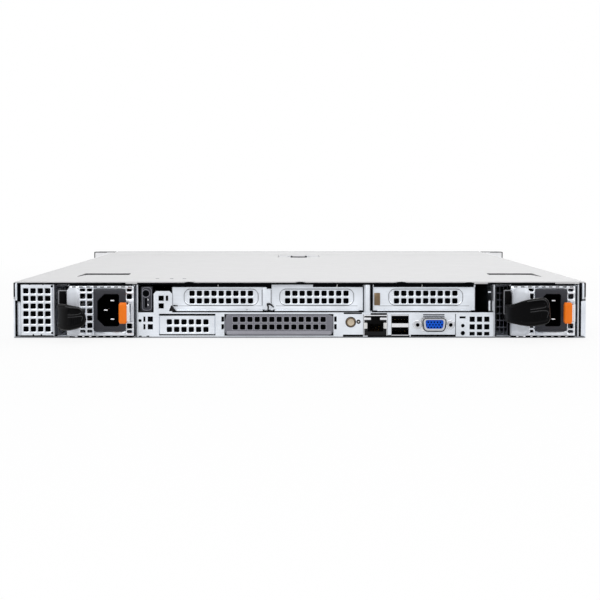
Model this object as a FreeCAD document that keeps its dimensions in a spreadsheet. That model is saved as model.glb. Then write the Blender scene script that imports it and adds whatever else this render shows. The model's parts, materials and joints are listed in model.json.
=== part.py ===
import FreeCAD, Part
import math
import os
import re

import Sketcher

# A rack server one unit high, in millimetres. The rear faces -Y, the drive bays face +Y, +Z is up.
# Z = 0 is the underside, X = 0 the middle, Y = 0 half way between handle tips and ear fronts.

SIZES = {
    # Whole chassis
    "chassis_w": 434,
    "chassis_h": 42.8,
    "rear_y": -362.5,
    "rack_y": 389,
    "front_y": 411,
    "body_front_y": 399,
    "gauge": 1.0,
    "wall_t": 1.2,
    "skirt_drop": 13.3,
    "skirt_gap": 0.3,
    # Top cover, measured forward from the rear edge
    "cover_len": 648,
    "cover_split": 0.6,
    "recess_w": 37,
    "recess_from": 97,
    "recess_to": 146,
    "recess_deep": 0.9,
    "recess_left_x": -162,
    "recess_right_x": 175.5,
    "notch_r": 4.2,
    "notch_pitch": 80.5,
    # Cover latch
    "latch_w": 44,
    "latch_from": 565,
    "latch_to": 632,
    "latch_t": 2.5,
    "latch_gap": 0.3,
    "finger_w": 17,
    "finger_len": 12,
    # Rack ears
    "ear_span": 482,
    "ear_chamfer": 6,
    "rack_hole_pitch": 465.1,
    "rack_hole_r": 3.5,
    "rack_hole_z": 21.4,
    "power_x": 228,
    "power_z": 33.5,
    "power_r": 4.3,
    # Rail studs
    "stud_r": 3.4,
    "stud_len": 3.2,
    "stud_z": 14.5,
    "stud_first": 60,
    "stud_pitch": 290,
    "stud_count": 3,
    # Corners of round features that nothing is fastened by
    "round_sides": 12,
    # Square vents shared by all sheet panels
    "vent": 4.0,
    "vent_pitch": 5.55,
    "vent_row": 5.8,
    # Vent panel at the left
    "panel_left": -214.2,
    "panel_right": -187.3,
    "panel_vent_x": -207.7,
    "panel_vent_z": 6.8,
    # Power supplies
    "psu_left_x": -185.4,
    "psu_right_x": 149.1,
    "psu_w": 60.5,
    "psu_h": 39.4,
    "psu_len": 185,
    "psu_proud": 1.5,
    "psu_notch_w": 10,
    "psu_notch_deep": 9,
    "bay_len": 200,
    "inlet_x": 29.4,
    "inlet_w": 24,
    "inlet_z": 4.3,
    "inlet_h": 31.8,
    "inlet_len": 24,
    "inlet_proud": 1.6,
    "mouth_x": 32.2,
    "mouth_w": 16.4,
    "mouth_z": 7.9,
    "mouth_h": 24.6,
    "mouth_cut": 5.3,
    "mouth_deep": 16,
    "pin_w": 4,
    "pin_t": 2,
    "pin_apart": 14,
    "guard_tip_x": 21.2,
    "guard_reach": 26,
    "handle_reach": 47.737,
    "handle_root_h": 13,
    "handle_tip_h": 21,
    "handle_left_z": 18.6,
    "handle_right_z": 21,
    "handle_left_lean": -2,
    "handle_right_lean": 5,
    "handle_end_h": 11,
    "arm_x": 56.3,
    "arm_t": 1.5,
    "tab_x": 48.8,
    "tab_z": 10.9,
    "tab_h": 15.7,
    "pivot_y": 27,
    # Slot blanks and riser cages
    "blank_w": 70,
    "blank_low": 20.4,
    "blank_top": 39.2,
    "blank_set_back": 2,
    "dish_in": 7.6,
    "dish_w": 55,
    "dish_h": 11,
    "dish_z": 25.4,
    "dish_deep": 0.9,
    "slot_cols": 9,
    "wing_w": 4.6,
    "slot_a_x": -94.8,
    "slot_b_x": -22.2,
    "slot_c_x": 60.6,
    "cage_top": 41.2,
    "cage_len": 190,
    "cage_left_x": -96.4,
    "cage_mid_x": 48.2,
    "cage_post_x": 55.4,
    "cage_right_x": 133.2,
    # Lower panel
    "io_left": -122.6,
    "io_right": 146.9,
    "io_top": 19.4,
    "tab_left": -110.8,
    "tab_right": -96.8,
    "tab_top": 35.6,
    "small_left": -106.8,
    "small_right": -64,
    "small_cols": 6,
    "card_left": -57.2,
    "card_right": 25.6,
    "card_cols": 13,
    "id_x": 38.7,
    "id_z": 12,
    "id_r": 3.7,
    "jack_left": 48.2,
    "jack_right": 66.6,
    "usb_left": 69.4,
    "usb_right": 82.8,
    "port_low": 1.7,
    "port_top": 17.7,
    "port_len": 18,
    "video_x": 101.7,
    "video_z": 10.2,
    "video_w": 17.4,
    "video_h": 9.4,
    "video_reach": 5.5,
    "screw_pitch": 25,
    # Inside
    "board_z": 2.4,
    "board_t": 1.6,
    "board_rear": 4,
    "board_step": 203,
    "board_front": 480,
    "sink_x": 102,
    "sink_w": 74,
    "sink_from": 300,
    "sink_len": 108,
    "sink_low": 9,
    "sink_top": 36,
    "fin_count": 14,
    "dimm_first": 142.5,
    "dimm_pitch": 8.2,
    "dimm_count": 8,
    "dimm_from": 288,
    "dimm_len": 133,
    "dimm_top": 38.5,
    "socket_h": 6,
    "fan_pitch": 70,
    "fan_count": 6,
    "fan_w": 40,
    "fan_h": 39.4,
    "fan_from": 492,
    "fan_len": 52,
    "fan_bore_r": 18.6,
    "bore_sides": 20,
    "hub_r": 9,
    "hub_sides": 10,
    "blade_r": 17.2,
    "rotor_len": 30,
    "backplane_from": 592,
    # Drive bays
    "bay_pitch": 106.4,
    "divider_t": 1.0,
    "shelf_z": 31.0,
    "carrier_w": 104.4,
    "carrier_h": 29,
    "carrier_len": 164,
    "carrier_z": 1.6,
    "carrier_front": 410.5,
    "rail_t": 1.4,
    "cross_from": 8,
    "cross_t": 12,
    "disk_len": 147,
    "disk_h": 26.1,
    "lever_left": 10,
    "lever_t": 5,
    "lever_pin_x": 101,
    "lever_pin_y": -4.2,
    "lever_pin_r": 1.2,
    "button_w": 7.4,
}

doc = FreeCAD.newDocument("rack_server")
sheet = doc.addObject("Spreadsheet::Sheet", "dims")
for row, (name, size) in enumerate(SIZES.items(), 1):
    sheet.set(f"A{row}", name)
    sheet.set(f"B{row}", str(size))
    sheet.setAlias(f"B{row}", name)
doc.recompute()

WORD = re.compile(r"[a-z][a-z_]*")
NORMAL_SIGN = {"XY": 1, "XZ": -1, "YZ": 1}


def bound(expression):
    """The expression with every sheet name written as a cell of the sheet."""
    return WORD.sub(lambda word: f"dims.{word.group(0)}", str(expression))


def number(expression):
    """The value that the expression has at the sheet's present sizes."""
    return float(sheet.evalExpression(bound(expression)))


def polygon(*corners):
    """A closed loop of straight edges, each corner given by two expressions."""

    def draw(sketch):
        points = [FreeCAD.Vector(number(a), number(b), 0) for a, b in corners]
        first = sketch.GeometryCount
        count = len(points)
        edges = [Part.LineSegment(points[i], points[(i + 1) % count]) for i in range(count)]
        sketch.addGeometry(edges, False)
        for i, corner in enumerate(corners):
            follower = first + (i + 1) % count
            sketch.addConstraint(Sketcher.Constraint("Coincident", first + i, 2, follower, 1))
            tie(sketch, first + i, 1, corner)

    return draw


def rectangle(left, low, right, high):
    """A rectangle between two corners."""
    return polygon((left, low), (right, low), (right, high), (left, high))


def circle(across, up, radius):
    """A circle round a centre point."""

    def draw(sketch):
        centre = FreeCAD.Vector(number(across), number(up), 0)
        index = sketch.addGeometry(Part.Circle(centre, FreeCAD.Vector(0, 0, 1), number(radius)), False)
        tie(sketch, index, 3, (across, up))
        size = sketch.addConstraint(Sketcher.Constraint("Radius", index, number(radius)))
        sketch.setExpression(f"Constraints[{size}]", bound(radius))

    return draw


def regular(sides, across, up, radius):
    """A polygon with equal sides round a centre point; its corners lie at the radius."""
    count = int(number(sides))
    turns = [2 * math.pi * i / count for i in range(count)]
    corners = [(round(math.cos(a), 6), round(math.sin(a), 6)) for a in turns]
    return polygon(*((f"{across} + {radius} * ({c})", f"{up} + {radius} * ({d})") for c, d in corners))


def tie(sketch, edge, vertex, corner):
    """Holds one point of a sketch at two expressions measured from the sketch origin."""
    for kind, expression in zip(("DistanceX", "DistanceY"), corner):
        rule = Sketcher.Constraint(kind, -1, 1, edge, vertex, number(expression))
        index = sketch.addConstraint(rule)
        sketch.setExpression(f"Constraints[{index}]", bound(expression))


class Piece:
    """One body of the server; its sketches and lengths follow the sheet."""

    def __init__(self, label, at=(0, 0, 0)):
        self.body = doc.addObject("PartDesign::Body", label)
        self.body.Label = label
        for axis, expression in zip("xyz", at):
            self.body.setExpression(f"Placement.Base.{axis}", bound(expression))

    def origin(self, role):
        """A plane or an axis of the body's own origin."""
        return next(part for part in self.body.Origin.OriginFeatures if part.Role == role)

    def sketch(self, plane, level, loops):
        """A sketch on a main plane, moved along the third axis to a level."""
        made = self.body.newObject("Sketcher::SketchObject", "outline")
        made.AttachmentSupport = (self.origin(f"{plane}_Plane"), [""])
        made.MapMode = "FlatFace"
        made.setExpression("AttachmentOffset.Base.z", bound(f"{NORMAL_SIGN[plane]} * ({level})"))
        for loop in loops:
            loop(made)
        return made

    def feature(self, kind, plane, level, length, loops):
        """A pad or a pocket that runs from its level towards the positive axis."""
        made = self.body.newObject(f"PartDesign::{kind}", kind.lower())
        made.Profile = self.sketch(plane, level, loops)
        made.setExpression("Length", bound(length))
        made.Reversed = (NORMAL_SIGN[plane] < 0) == (kind == "Pad")
        self.body.Tip = made
        return made

    def pad(self, plane, level, length, *loops):
        return self.feature("Pad", plane, level, length, loops)

    def pocket(self, plane, level, length, *loops):
        return self.feature("Pocket", plane, level, length, loops)

    def repeat(self, feature, across=None, up=None):
        """Repeats a feature in its sketch plane; a step and a count for each direction."""
        pattern = self.body.newObject("PartDesign::LinearPattern", "pattern")
        pattern.Originals = [feature]
        sketch = feature.Profile[0]
        runs = [(axis, run) for axis, run in (("H_Axis", across), ("V_Axis", up)) if run]
        for suffix, (axis, (step, count)) in zip(("", "2"), runs):
            setattr(pattern, f"Direction{suffix}", (sketch, [axis]))
            pattern.setExpression(f"Length{suffix}", bound(f"({step}) * ({count} - 1)"))
            pattern.setExpression(f"Occurrences{suffix}", bound(count))
        self.body.Tip = pattern
        return pattern

    def turn(self, feature, axis, count):
        """Repeats a feature round an axis of the body."""
        pattern = self.body.newObject("PartDesign::PolarPattern", "pattern")
        pattern.Originals = [feature]
        pattern.Axis = (self.origin(axis), [""])
        pattern.Angle = 360
        pattern.setExpression("Occurrences", bound(count))
        self.body.Tip = pattern

    def dress(self, kind, size, wanted):
        """A fillet or chamfer on the edges that the test picks."""
        doc.recompute()
        base = self.body.Tip
        edges = [f"Edge{i}" for i, edge in enumerate(base.Shape.Edges, 1) if wanted(edge)]
        made = self.body.newObject(f"PartDesign::{kind}", kind.lower())
        made.Base = (base, edges)
        made.setExpression("Radius" if kind == "Fillet" else "Size", bound(size))
        self.body.Tip = made


def runs_along(edge, axis, *ends):
    """True for a straight edge along the axis; ends are wanted positions across it, if any."""
    across = [i for i in range(3) if i != "xyz".index(axis)]
    start = edge.Vertexes[0].Point
    finish = edge.Vertexes[-1].Point
    if any(abs(start[i] - finish[i]) > 1e-3 for i in across):
        return False
    spot = [start[i] for i in across]
    near = [all(abs(a - b) < 0.05 for a, b in zip(spot, end)) for end in ends]
    return any(near) or not ends


nodes = []


def keep(piece):
    """Adds a finished body to the list that is written out."""
    nodes.append(piece.body)


def keep_group(label, pieces):
    """Adds several like bodies as one named sub-part."""
    group = doc.addObject("Part::Compound", label)
    group.Label = label
    group.Links = [piece.body for piece in pieces]
    nodes.append(group)


# Chassis shell


def floor_pan():
    floor = Piece("floor_pan")
    length = "body_front_y - rear_y"
    floor.pad("XY", 0, "gauge", rectangle("-chassis_w/2", "rear_y", "chassis_w/2", f"rear_y + {length}"))
    keep(floor)


def side_walls():
    """Each wall steps inward under the cover skirt."""
    walls = []
    shoulder = "chassis_h - skirt_drop - skirt_gap"
    step = "(wall_t + skirt_gap)"
    for side, sign in (("left", "-1"), ("right", "1")):
        wall = Piece(f"side_wall_{side}")
        outer = f"{sign} * chassis_w/2"
        profile = polygon(
            (outer, "gauge"),
            (outer, shoulder),
            (f"{sign} * (chassis_w/2 - {step})", shoulder),
            (f"{sign} * (chassis_w/2 - {step})", "chassis_h - gauge"),
            (f"{sign} * (chassis_w/2 - {step} - wall_t)", "chassis_h - gauge"),
            (f"{sign} * (chassis_w/2 - {step} - wall_t)", f"{shoulder} - wall_t"),
            (f"{sign} * (chassis_w/2 - wall_t)", f"{shoulder} - wall_t"),
            (f"{sign} * (chassis_w/2 - wall_t)", "gauge"),
        )
        wall.pad("XZ", "rear_y", "body_front_y - rear_y", profile)
        walls.append(wall)
    keep_group("side_walls", walls)


def rail_studs():
    """Round studs that drop into the slots of the slide rails, faceted to keep the mesh light."""
    studs = []
    for side, level in (("left", "-chassis_w/2 - stud_len"), ("right", "chassis_w/2")):
        row = Piece(f"studs_{side}")
        outline = regular("round_sides", "rack_y - stud_first", "stud_z", "stud_r")
        stud = row.pad("YZ", level, "stud_len", outline)
        pattern = row.repeat(stud, across=("stud_pitch", "stud_count"))
        pattern.Reversed = True
        studs.append(row)
    keep_group("rail_studs", studs)


def rack_ears():
    """Flanges that stand on the rack posts; the right one carries the power button."""
    ears = []
    for side, sign in (("left", "-1"), ("right", "1")):
        ear = Piece(f"ear_{side}")
        outer = f"{sign} * ear_span/2"
        inner = f"{sign} * chassis_w/2"
        outline = polygon(
            (inner, "rack_y"),
            (outer, "rack_y"),
            (outer, "front_y - ear_chamfer"),
            (f"{sign} * (ear_span/2 - ear_chamfer)", "front_y"),
            (f"{sign} * (chassis_w/2 + 1.5)", "front_y"),
            (inner, "front_y - 1.5"),
        )
        ear.pad("XY", 0, "chassis_h", outline)
        hole = circle(f"{sign} * rack_hole_pitch/2", "rack_hole_z", "rack_hole_r")
        ear.pocket("XZ", "rack_y", "front_y - rack_y", hole)
        if side == "right":
            button_hole = regular("round_sides", "power_x", "power_z", "(power_r + 0.3)")
            ear.pocket("XZ", "front_y - 9", 9, button_hole)
            ear.pocket("XZ", "front_y - 7", 7, rectangle("power_x - 6.5", 6, "power_x + 6.5", 11))
        else:
            ear.pocket("XZ", "front_y - 0.8", 0.8, rectangle("-power_x - 3", 6, "-power_x + 3", 37))
        ears.append(ear)
    keep_group("rack_ears", ears)


def power_button():
    button = Piece("power_button")
    button.pad("XZ", "front_y - 7", 7, regular("round_sides", "power_x", "power_z", "power_r"))
    keep(button)


# Covers


def cover_profile():
    """Top sheet with a skirt down each side."""
    half = "chassis_w/2"
    low = "chassis_h - skirt_drop"
    under = "chassis_h - gauge"
    return polygon(
        (f"-{half}", low),
        (f"-{half} + wall_t", low),
        (f"-{half} + wall_t", under),
        (f"{half} - wall_t", under),
        (f"{half} - wall_t", low),
        (half, low),
        (half, "chassis_h"),
        (f"-{half}", "chassis_h"),
    )


def top_cover():
    """Lift-off cover with two pressed recesses, the latch well and three notches on its rear edge."""
    cover = Piece("top_cover")
    cover.pad("XZ", "rear_y", "cover_len", cover_profile())
    well_low = "chassis_h - latch_t - 3 * latch_gap - gauge"
    spans = [(f"{x} - recess_w/2", f"{x} + recess_w/2") for x in ("recess_left_x", "recess_right_x")]
    for left, right in spans:
        area = rectangle(f"{left} - 1", "rear_y + recess_from - 1", f"{right} + 1", "rear_y + recess_to + 1")
        cover.pad("XY", "chassis_h - recess_deep - 0.8", "0.8 + recess_deep - gauge", area)
    half = "(latch_w/2 + latch_gap)"
    well_end = "rear_y + latch_to + latch_t/2 + 2 * latch_gap"
    notch_start = "rear_y + latch_from - finger_len"
    block = rectangle(f"-{half} - 2", f"{notch_start} - 2", f"{half} + 2", f"{well_end} + 2")
    cover.pad("XY", well_low, f"chassis_h - gauge - ({well_low})", block)
    for left, right in spans:
        area = rectangle(left, "rear_y + recess_from", right, "rear_y + recess_to")
        cover.pocket("XY", "chassis_h - recess_deep", "recess_deep", area)
    well = rectangle(f"-{half}", "rear_y + latch_from - latch_gap", half, well_end)
    cover.pocket("XY", "chassis_h - latch_t - 2 * latch_gap", "latch_t + 2 * latch_gap", well)
    scoop = rectangle("-finger_w/2", notch_start, "finger_w/2", "rear_y + latch_from")
    cover.pocket("XY", "chassis_h - latch_t - 2 * latch_gap", "latch_t + 2 * latch_gap", scoop)
    half_round = circle("-notch_pitch", "rear_y", "notch_r")
    notch = cover.pocket("XY", "chassis_h - gauge - 2", "gauge + 2", half_round)
    cover.repeat(notch, across=("notch_pitch", 3))
    keep(cover)


def cover_latch():
    """Flush lever that lifts at its rear end and turns on its round front end."""
    lever = Piece("cover_latch")
    low = "chassis_h - latch_t"
    side = rectangle("rear_y + latch_from", low, "rear_y + latch_to", "chassis_h")
    lever.pad("YZ", "-latch_w/2", "latch_w", side)
    knuckle = circle("rear_y + latch_to", "chassis_h - latch_t/2", "latch_t/2")
    lever.pad("YZ", "-latch_w/2", "latch_w", knuckle)
    grip = rectangle("-finger_w/2", "rear_y + latch_from", "finger_w/2", "rear_y + latch_from + 6")
    lever.pocket("XY", low, 1, grip)
    keep(lever)


def drive_bay_cover():
    """Fixed part of the roof over the drive bays."""
    roof = Piece("drive_bay_cover")
    start = "rear_y + cover_len + cover_split"
    roof.pad("XZ", start, f"body_front_y - ({start})", cover_profile())
    keep(roof)


# Rear wall


def vent_panel():
    panel = Piece("vent_panel")
    area = rectangle("panel_left", "gauge", "panel_right", "chassis_h - gauge - 0.4")
    panel.pad("XZ", "rear_y", "gauge", area)
    hole = panel.pocket("XZ", "rear_y", "gauge", vent_at("panel_vent_x", "panel_vent_z"))
    panel.repeat(hole, across=("vent_pitch", 4), up=("vent_row", 6))
    keep(panel)


def vent_at(across, up, wide="vent", tall="vent"):
    """A square vent round its middle."""
    return rectangle(
        f"{across} - {wide}/2", f"{up} - {tall}/2", f"{across} + {wide}/2", f"{up} + {tall}/2"
    )


def io_panel():
    """Lower rear panel: openings for the blanks, ports and button, and a tall tab beside slot one."""
    panel = Piece("io_panel")
    outline = polygon(
        ("io_left", "gauge"),
        ("io_right", "gauge"),
        ("io_right", "io_top"),
        ("tab_right", "io_top"),
        ("tab_right", "tab_top - 2"),
        ("tab_right - 2", "tab_top"),
        ("tab_left + 2", "tab_top"),
        ("tab_left", "tab_top - 2"),
        ("tab_left", "io_top"),
        ("io_left", "io_top"),
    )
    panel.pad("XZ", "rear_y", "gauge", outline)
    video_left = "video_x - video_w/2 - 0.6"
    video_right = "video_x + video_w/2 + 0.6"
    panel.pocket(
        "XZ", "rear_y", "gauge",
        rectangle("small_left", 1.9, "small_right", 18.4),
        rectangle("card_left", 1.7, "card_right", 18.2),
        regular("round_sides", "id_x", "id_z", "(id_r + 0.3)"),
        rectangle("jack_left", "port_low", "jack_right", "port_top"),
        rectangle("usb_left", "port_low", "usb_right", "port_top"),
        rectangle(video_left, "video_z - video_h/2 - 0.5", video_right, "video_z + video_h/2 + 0.5"),
    )
    low_row = 8.5
    left_pair = panel.pocket("XZ", "rear_y", "gauge", vent_at(-113.4, low_row), vent_at(-117.9, low_row, 1.6))
    panel.repeat(left_pair, up=("vent_row", 2))
    tall_tab = panel.pocket("XZ", "rear_y", "gauge", vent_at(-105.1, 24.4))
    panel.repeat(tall_tab, up=("vent_row", 2))
    panel.pocket("XZ", "rear_y", "gauge", vent_at(-100.7, 30.2, 1.9))
    slot_before = vent_at("card_left - 1.5", low_row, 1.5)
    slot_after = vent_at("card_right + 1.5", low_row, 1.8)
    card_slots = panel.pocket("XZ", "rear_y", "gauge", slot_before, slot_after)
    panel.repeat(card_slots, up=("vent_row", 2))
    right_grid = panel.pocket("XZ", "rear_y", "gauge", vent_at(130.9, 8.4))
    panel.repeat(right_grid, across=("vent_pitch", 3), up=("vent_row", 2))
    low_grid = panel.pocket("XZ", "rear_y", "gauge", vent_at(130.9, 3.2, "vent", 2.8))
    panel.repeat(low_grid, across=("vent_pitch", 3))
    lamp_slot = vent_at(123.6, 15.6, 4.6, 1.6)
    light_holes = (regular(12, 123.8, 9.3, 1.4), regular(12, 123.8, 3.6, 1.7))
    panel.pocket("XZ", "rear_y", "gauge", lamp_slot, *light_holes)
    keep(panel)


def small_blank():
    """Blank of the unused network opening; side wings rest behind the panel."""
    blank = Piece("small_blank")
    face = rectangle("small_left + 0.4", 3, "small_right - 0.4", 17.4)
    blank.pad("XZ", "rear_y + 0.1", "2 * gauge - 0.1", face)
    wings = rectangle("small_left - 2", 3, "small_right + 2", 17.4)
    blank.pad("XZ", "rear_y + gauge", "gauge", wings)
    hole = blank.pocket("XZ", "rear_y", "2 * gauge", vent_at("small_left + 7.8", 6.4))
    blank.repeat(hole, across=("vent_pitch", "small_cols"), up=("vent_row", 2))
    keep(blank)


def card_blank():
    """Dark blank of the network card opening, standing a little proud of the panel."""
    blank = Piece("card_blank")
    left = "card_left + 0.3"
    right = "card_right - 0.3"
    face = polygon(
        (f"{left} + 2", 2), (f"{right} - 2", 2), (right, 4), (right, 15.9),
        (f"{right} - 2", 17.9), (f"{left} + 2", 17.9), (left, 15.9), (left, 4),
    )
    blank.pad("XZ", "rear_y - 1.2", "2.2 + gauge", face)
    blank.pad("XZ", "rear_y + gauge", "gauge", rectangle(f"{left} + 6", 1.2, f"{right} - 6", 19))
    hole = blank.pocket("XZ", "rear_y - 1.2", "2.2 + gauge", vent_at("card_left + 8.3", 8.4))
    blank.repeat(hole, across=("vent_pitch", "card_cols"), up=("vent_row", 2))
    keep(blank)


def slot_blanks():
    """Three expansion slot blanks, each with a dished oblong and two rows of vents.

    The third has a wing at its left that reaches the post between the cages.
    """
    blanks = []
    face_y = "rear_y + blank_set_back"
    for name, wing in (("slot_a_x", 0), ("slot_b_x", 0), ("slot_c_x", "wing_w")):
        blank = Piece(f"blank_{name[5]}")
        sheet_area = rectangle(f"{name} - {wing}", "blank_low", f"{name} + blank_w", "blank_top")
        blank.pad("XZ", face_y, "gauge", sheet_area)
        dish_left = f"{name} + dish_in"
        dish_right = f"{name} + dish_in + dish_w"
        behind = rectangle(f"{dish_left} - 1", "dish_z - 1", f"{dish_right} + 1", "dish_z + dish_h + 1")
        blank.pad("XZ", face_y, "gauge + dish_deep", behind)
        dish = rectangle(dish_left, "dish_z", dish_right, "dish_z + dish_h")
        blank.pocket("XZ", face_y, "dish_deep", dish)
        lip = rectangle(f"{name} + 3", "blank_low", f"{name} + blank_w - 3", "blank_low + gauge")
        blank.pad("XZ", "rear_y + 0.3", "blank_set_back", lip)
        vent = vent_at(f"{dish_left} + 5.35", "dish_z + 2.6")
        hole = blank.pocket("XZ", face_y, "gauge + dish_deep", vent)
        blank.repeat(hole, across=("vent_pitch", "slot_cols"), up=("vent_row", 2))
        blanks.append(blank)
    keep_group("slot_blanks", blanks)


def riser_cages():
    """Folded carriers over the slots: a roof, a rear lip and one side wall each."""
    cages = []
    lip_y = "rear_y + 0.5"
    spans = (("left", "cage_left_x", "cage_mid_x"), ("right", "cage_post_x", "cage_right_x"))
    for name, start, end in spans:
        cage = Piece(f"cage_{name}")
        profile = polygon(
            (lip_y, "cage_top - 2.4"),
            (f"{lip_y} + gauge", "cage_top - 2.4"),
            (f"{lip_y} + gauge", "cage_top - gauge"),
            ("rear_y + cage_len", "cage_top - gauge"),
            ("rear_y + cage_len", "cage_top"),
            (lip_y, "cage_top"),
        )
        cage.pad("YZ", start, f"({end}) - ({start})", profile)
        wall_x = start if name == "left" else f"{end} - gauge"
        wall = rectangle("rear_y + 5", "blank_low", "rear_y + cage_len", "cage_top - gauge")
        cage.pad("YZ", wall_x, "gauge", wall)
        cages.append(cage)
    post = Piece("cage_post")
    stem = rectangle("cage_mid_x + 0.6", "port_top + 0.3", "cage_post_x - 0.6", "cage_top - 1")
    post.pad("XZ", "rear_y + 1", 8, stem)
    post.pocket("XZ", "rear_y + 1", 8, rectangle("cage_mid_x + 2.4", 22, "cage_post_x - 2.4", 37))
    cages.append(post)
    keep_group("riser_cages", cages)


def riser_boards():
    boards = []
    for name, across in (("left", "slot_b_x - 1.8"), ("right", "cage_right_x - 6")):
        board = Piece(f"riser_{name}")
        side = rectangle("rear_y + 12", "board_z + board_t", "rear_y + 168", "cage_top - gauge")
        board.pad("YZ", across, "board_t", side)
        boards.append(board)
    keep_group("riser_boards", boards)


def cable_anchor():
    """Black moulding with a round eye in the dark opening at the left."""
    anchor = Piece("cable_anchor")
    body = rectangle(-121.6, "io_top + 0.6", -111.4, 39.5)
    anchor.pad("XZ", "rear_y + 3", 20, body)
    anchor.pad("XZ", "rear_y + gauge", 6, rectangle(-121.6, "io_top - 4", -111.4, 28))
    anchor.pocket("XZ", "rear_y + 3", 12, regular("round_sides", -116.8, 33.6, 3))
    keep(anchor)


# Ports of the lower panel


def network_jack():
    """Shielded jack: wide mouth below, narrow notch for the plug's clip above."""
    jack = Piece("network_jack")
    left = "jack_left + 0.2"
    right = "jack_right - 0.2"
    shield = rectangle(left, "port_low + 0.2", right, "port_top - 0.2")
    jack.pad("XZ", "rear_y - 0.8", "port_len + 0.8", shield)
    middle = "(jack_left + jack_right)/2"
    mouth = polygon(
        (f"{middle} - 5.9", 4.8), (f"{middle} + 5.9", 4.8), (f"{middle} + 5.9", 12.9),
        (f"{middle} + 3", 12.9), (f"{middle} + 3", 15.6), (f"{middle} - 3", 15.6),
        (f"{middle} - 3", 12.9), (f"{middle} - 5.9", 12.9),
    )
    jack.pocket("XZ", "rear_y - 0.8", 13.8, mouth)
    keep(jack)


def usb_ports():
    """Two stacked sockets with their contact tongues."""
    ports = Piece("usb_ports")
    outer = rectangle("usb_left + 0.2", "port_low + 0.2", "usb_right - 0.2", "port_top - 0.2")
    ports.pad("XZ", "rear_y - 0.6", "port_len + 0.6", outer)
    for low in (2.9, 11.6):
        mouth = rectangle("usb_left + 0.7", low, "usb_right - 0.7", low + 4.8)
        ports.pocket("XZ", "rear_y - 0.6", 12, mouth)
    for low in (2.9, 11.6):
        tongue = rectangle("usb_left + 1.2", low + 2.5, "usb_right - 1.2", low + 4.3)
        ports.pad("XZ", "rear_y + 1", 12, tongue)
    keep(ports)


def d_outline(half_w, half_h):
    """The D of a video port: wide at the top, narrow at the bottom, corners cut."""
    return polygon(
        (f"video_x - {half_w} + 2.8", f"video_z - {half_h}"),
        (f"video_x + {half_w} - 2.8", f"video_z - {half_h}"),
        (f"video_x + {half_w} - 1.2", f"video_z - {half_h} + 1.4"),
        (f"video_x + {half_w}", f"video_z + {half_h} - 1.6"),
        (f"video_x + {half_w} - 1.4", f"video_z + {half_h}"),
        (f"video_x - {half_w} + 1.4", f"video_z + {half_h}"),
        (f"video_x - {half_w}", f"video_z + {half_h} - 1.6"),
        (f"video_x - {half_w} + 1.2", f"video_z - {half_h} + 1.4"),
    )


def video_port():
    """Metal shell on a block behind the panel, and the blue insert with three rows of contacts."""
    shell = Piece("video_port_shell")
    block = rectangle("video_x - 15", "board_z + board_t", "video_x + 15", "port_top")
    shell.pad("XZ", "rear_y + gauge", 12, block)
    shell.pad("XZ", "rear_y - video_reach", "video_reach + gauge", d_outline("video_w/2", "video_h/2"))
    inside = d_outline("(video_w/2 - 0.7)", "(video_h/2 - 0.7)")
    shell.pocket("XZ", "rear_y - video_reach", "video_reach + gauge + 2", inside)
    keep(shell)

    insert = Piece("video_port_insert")
    core = d_outline("(video_w/2 - 0.8)", "(video_h/2 - 0.8)")
    insert.pad("XZ", "rear_y - video_reach + 0.6", "video_reach + gauge + 1.4", core)
    for row, start in ((2, -4.4), (0, -5.6), (-2, -4.4)):
        contact = vent_at(f"video_x + {start}", f"video_z + {row}", 0.9, 0.9)
        hole = insert.pocket("XZ", "rear_y - video_reach + 0.6", 3, contact)
        insert.repeat(hole, across=(2.3, 5))
    keep(insert)


def id_button():
    button = Piece("id_button")
    button.pad("XZ", "rear_y - 1.5", 6.5, regular("round_sides", "id_x", "id_z", "id_r"))
    button.dress("Chamfer", 0.7, lambda edge: abs(edge.BoundBox.YMax - number("rear_y - 1.5")) < 0.01)
    keep(button)


def fasteners():
    """Hexagonal jack screws of the video port and the standoffs under the motherboard."""
    made = []
    for side in (-1, 1):
        screw = Piece(f"jack_screw_{'left' if side < 0 else 'right'}")
        across = f"video_x + {side} * screw_pitch/2"
        screw.pad("XZ", "rear_y - 4.8", 4.8, regular(6, across, "video_z", 2.7))
        screw.pocket("XZ", "rear_y - 4.8", 4.4, circle(across, "video_z", 1.42))
        made.append(screw)
    posts = Piece("standoffs")
    post = posts.pad("XY", "gauge", "board_z - gauge", regular(6, -195, "rear_y + 225", 2.8))
    posts.repeat(post, across=(130, 4), up=(235, 2))
    made.append(posts)
    keep_group("fasteners", made)


# Power supplies


def psu_bay_walls():
    walls = []
    right_end = "psu_right_x + psu_w"
    places = ("psu_left_x - 1.8", "psu_left_x + psu_w + 1.2", "psu_right_x - 2.1", f"{right_end} + 1.2")
    for index, across in enumerate(places):
        wall = Piece(f"bay_wall_{'abcd'[index]}")
        side = rectangle("rear_y", "gauge", "rear_y + bay_len", "chassis_h - gauge - 0.8")
        wall.pad("YZ", across, "gauge", side)
        walls.append(wall)
    keep_group("psu_bay_walls", walls)


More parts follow.
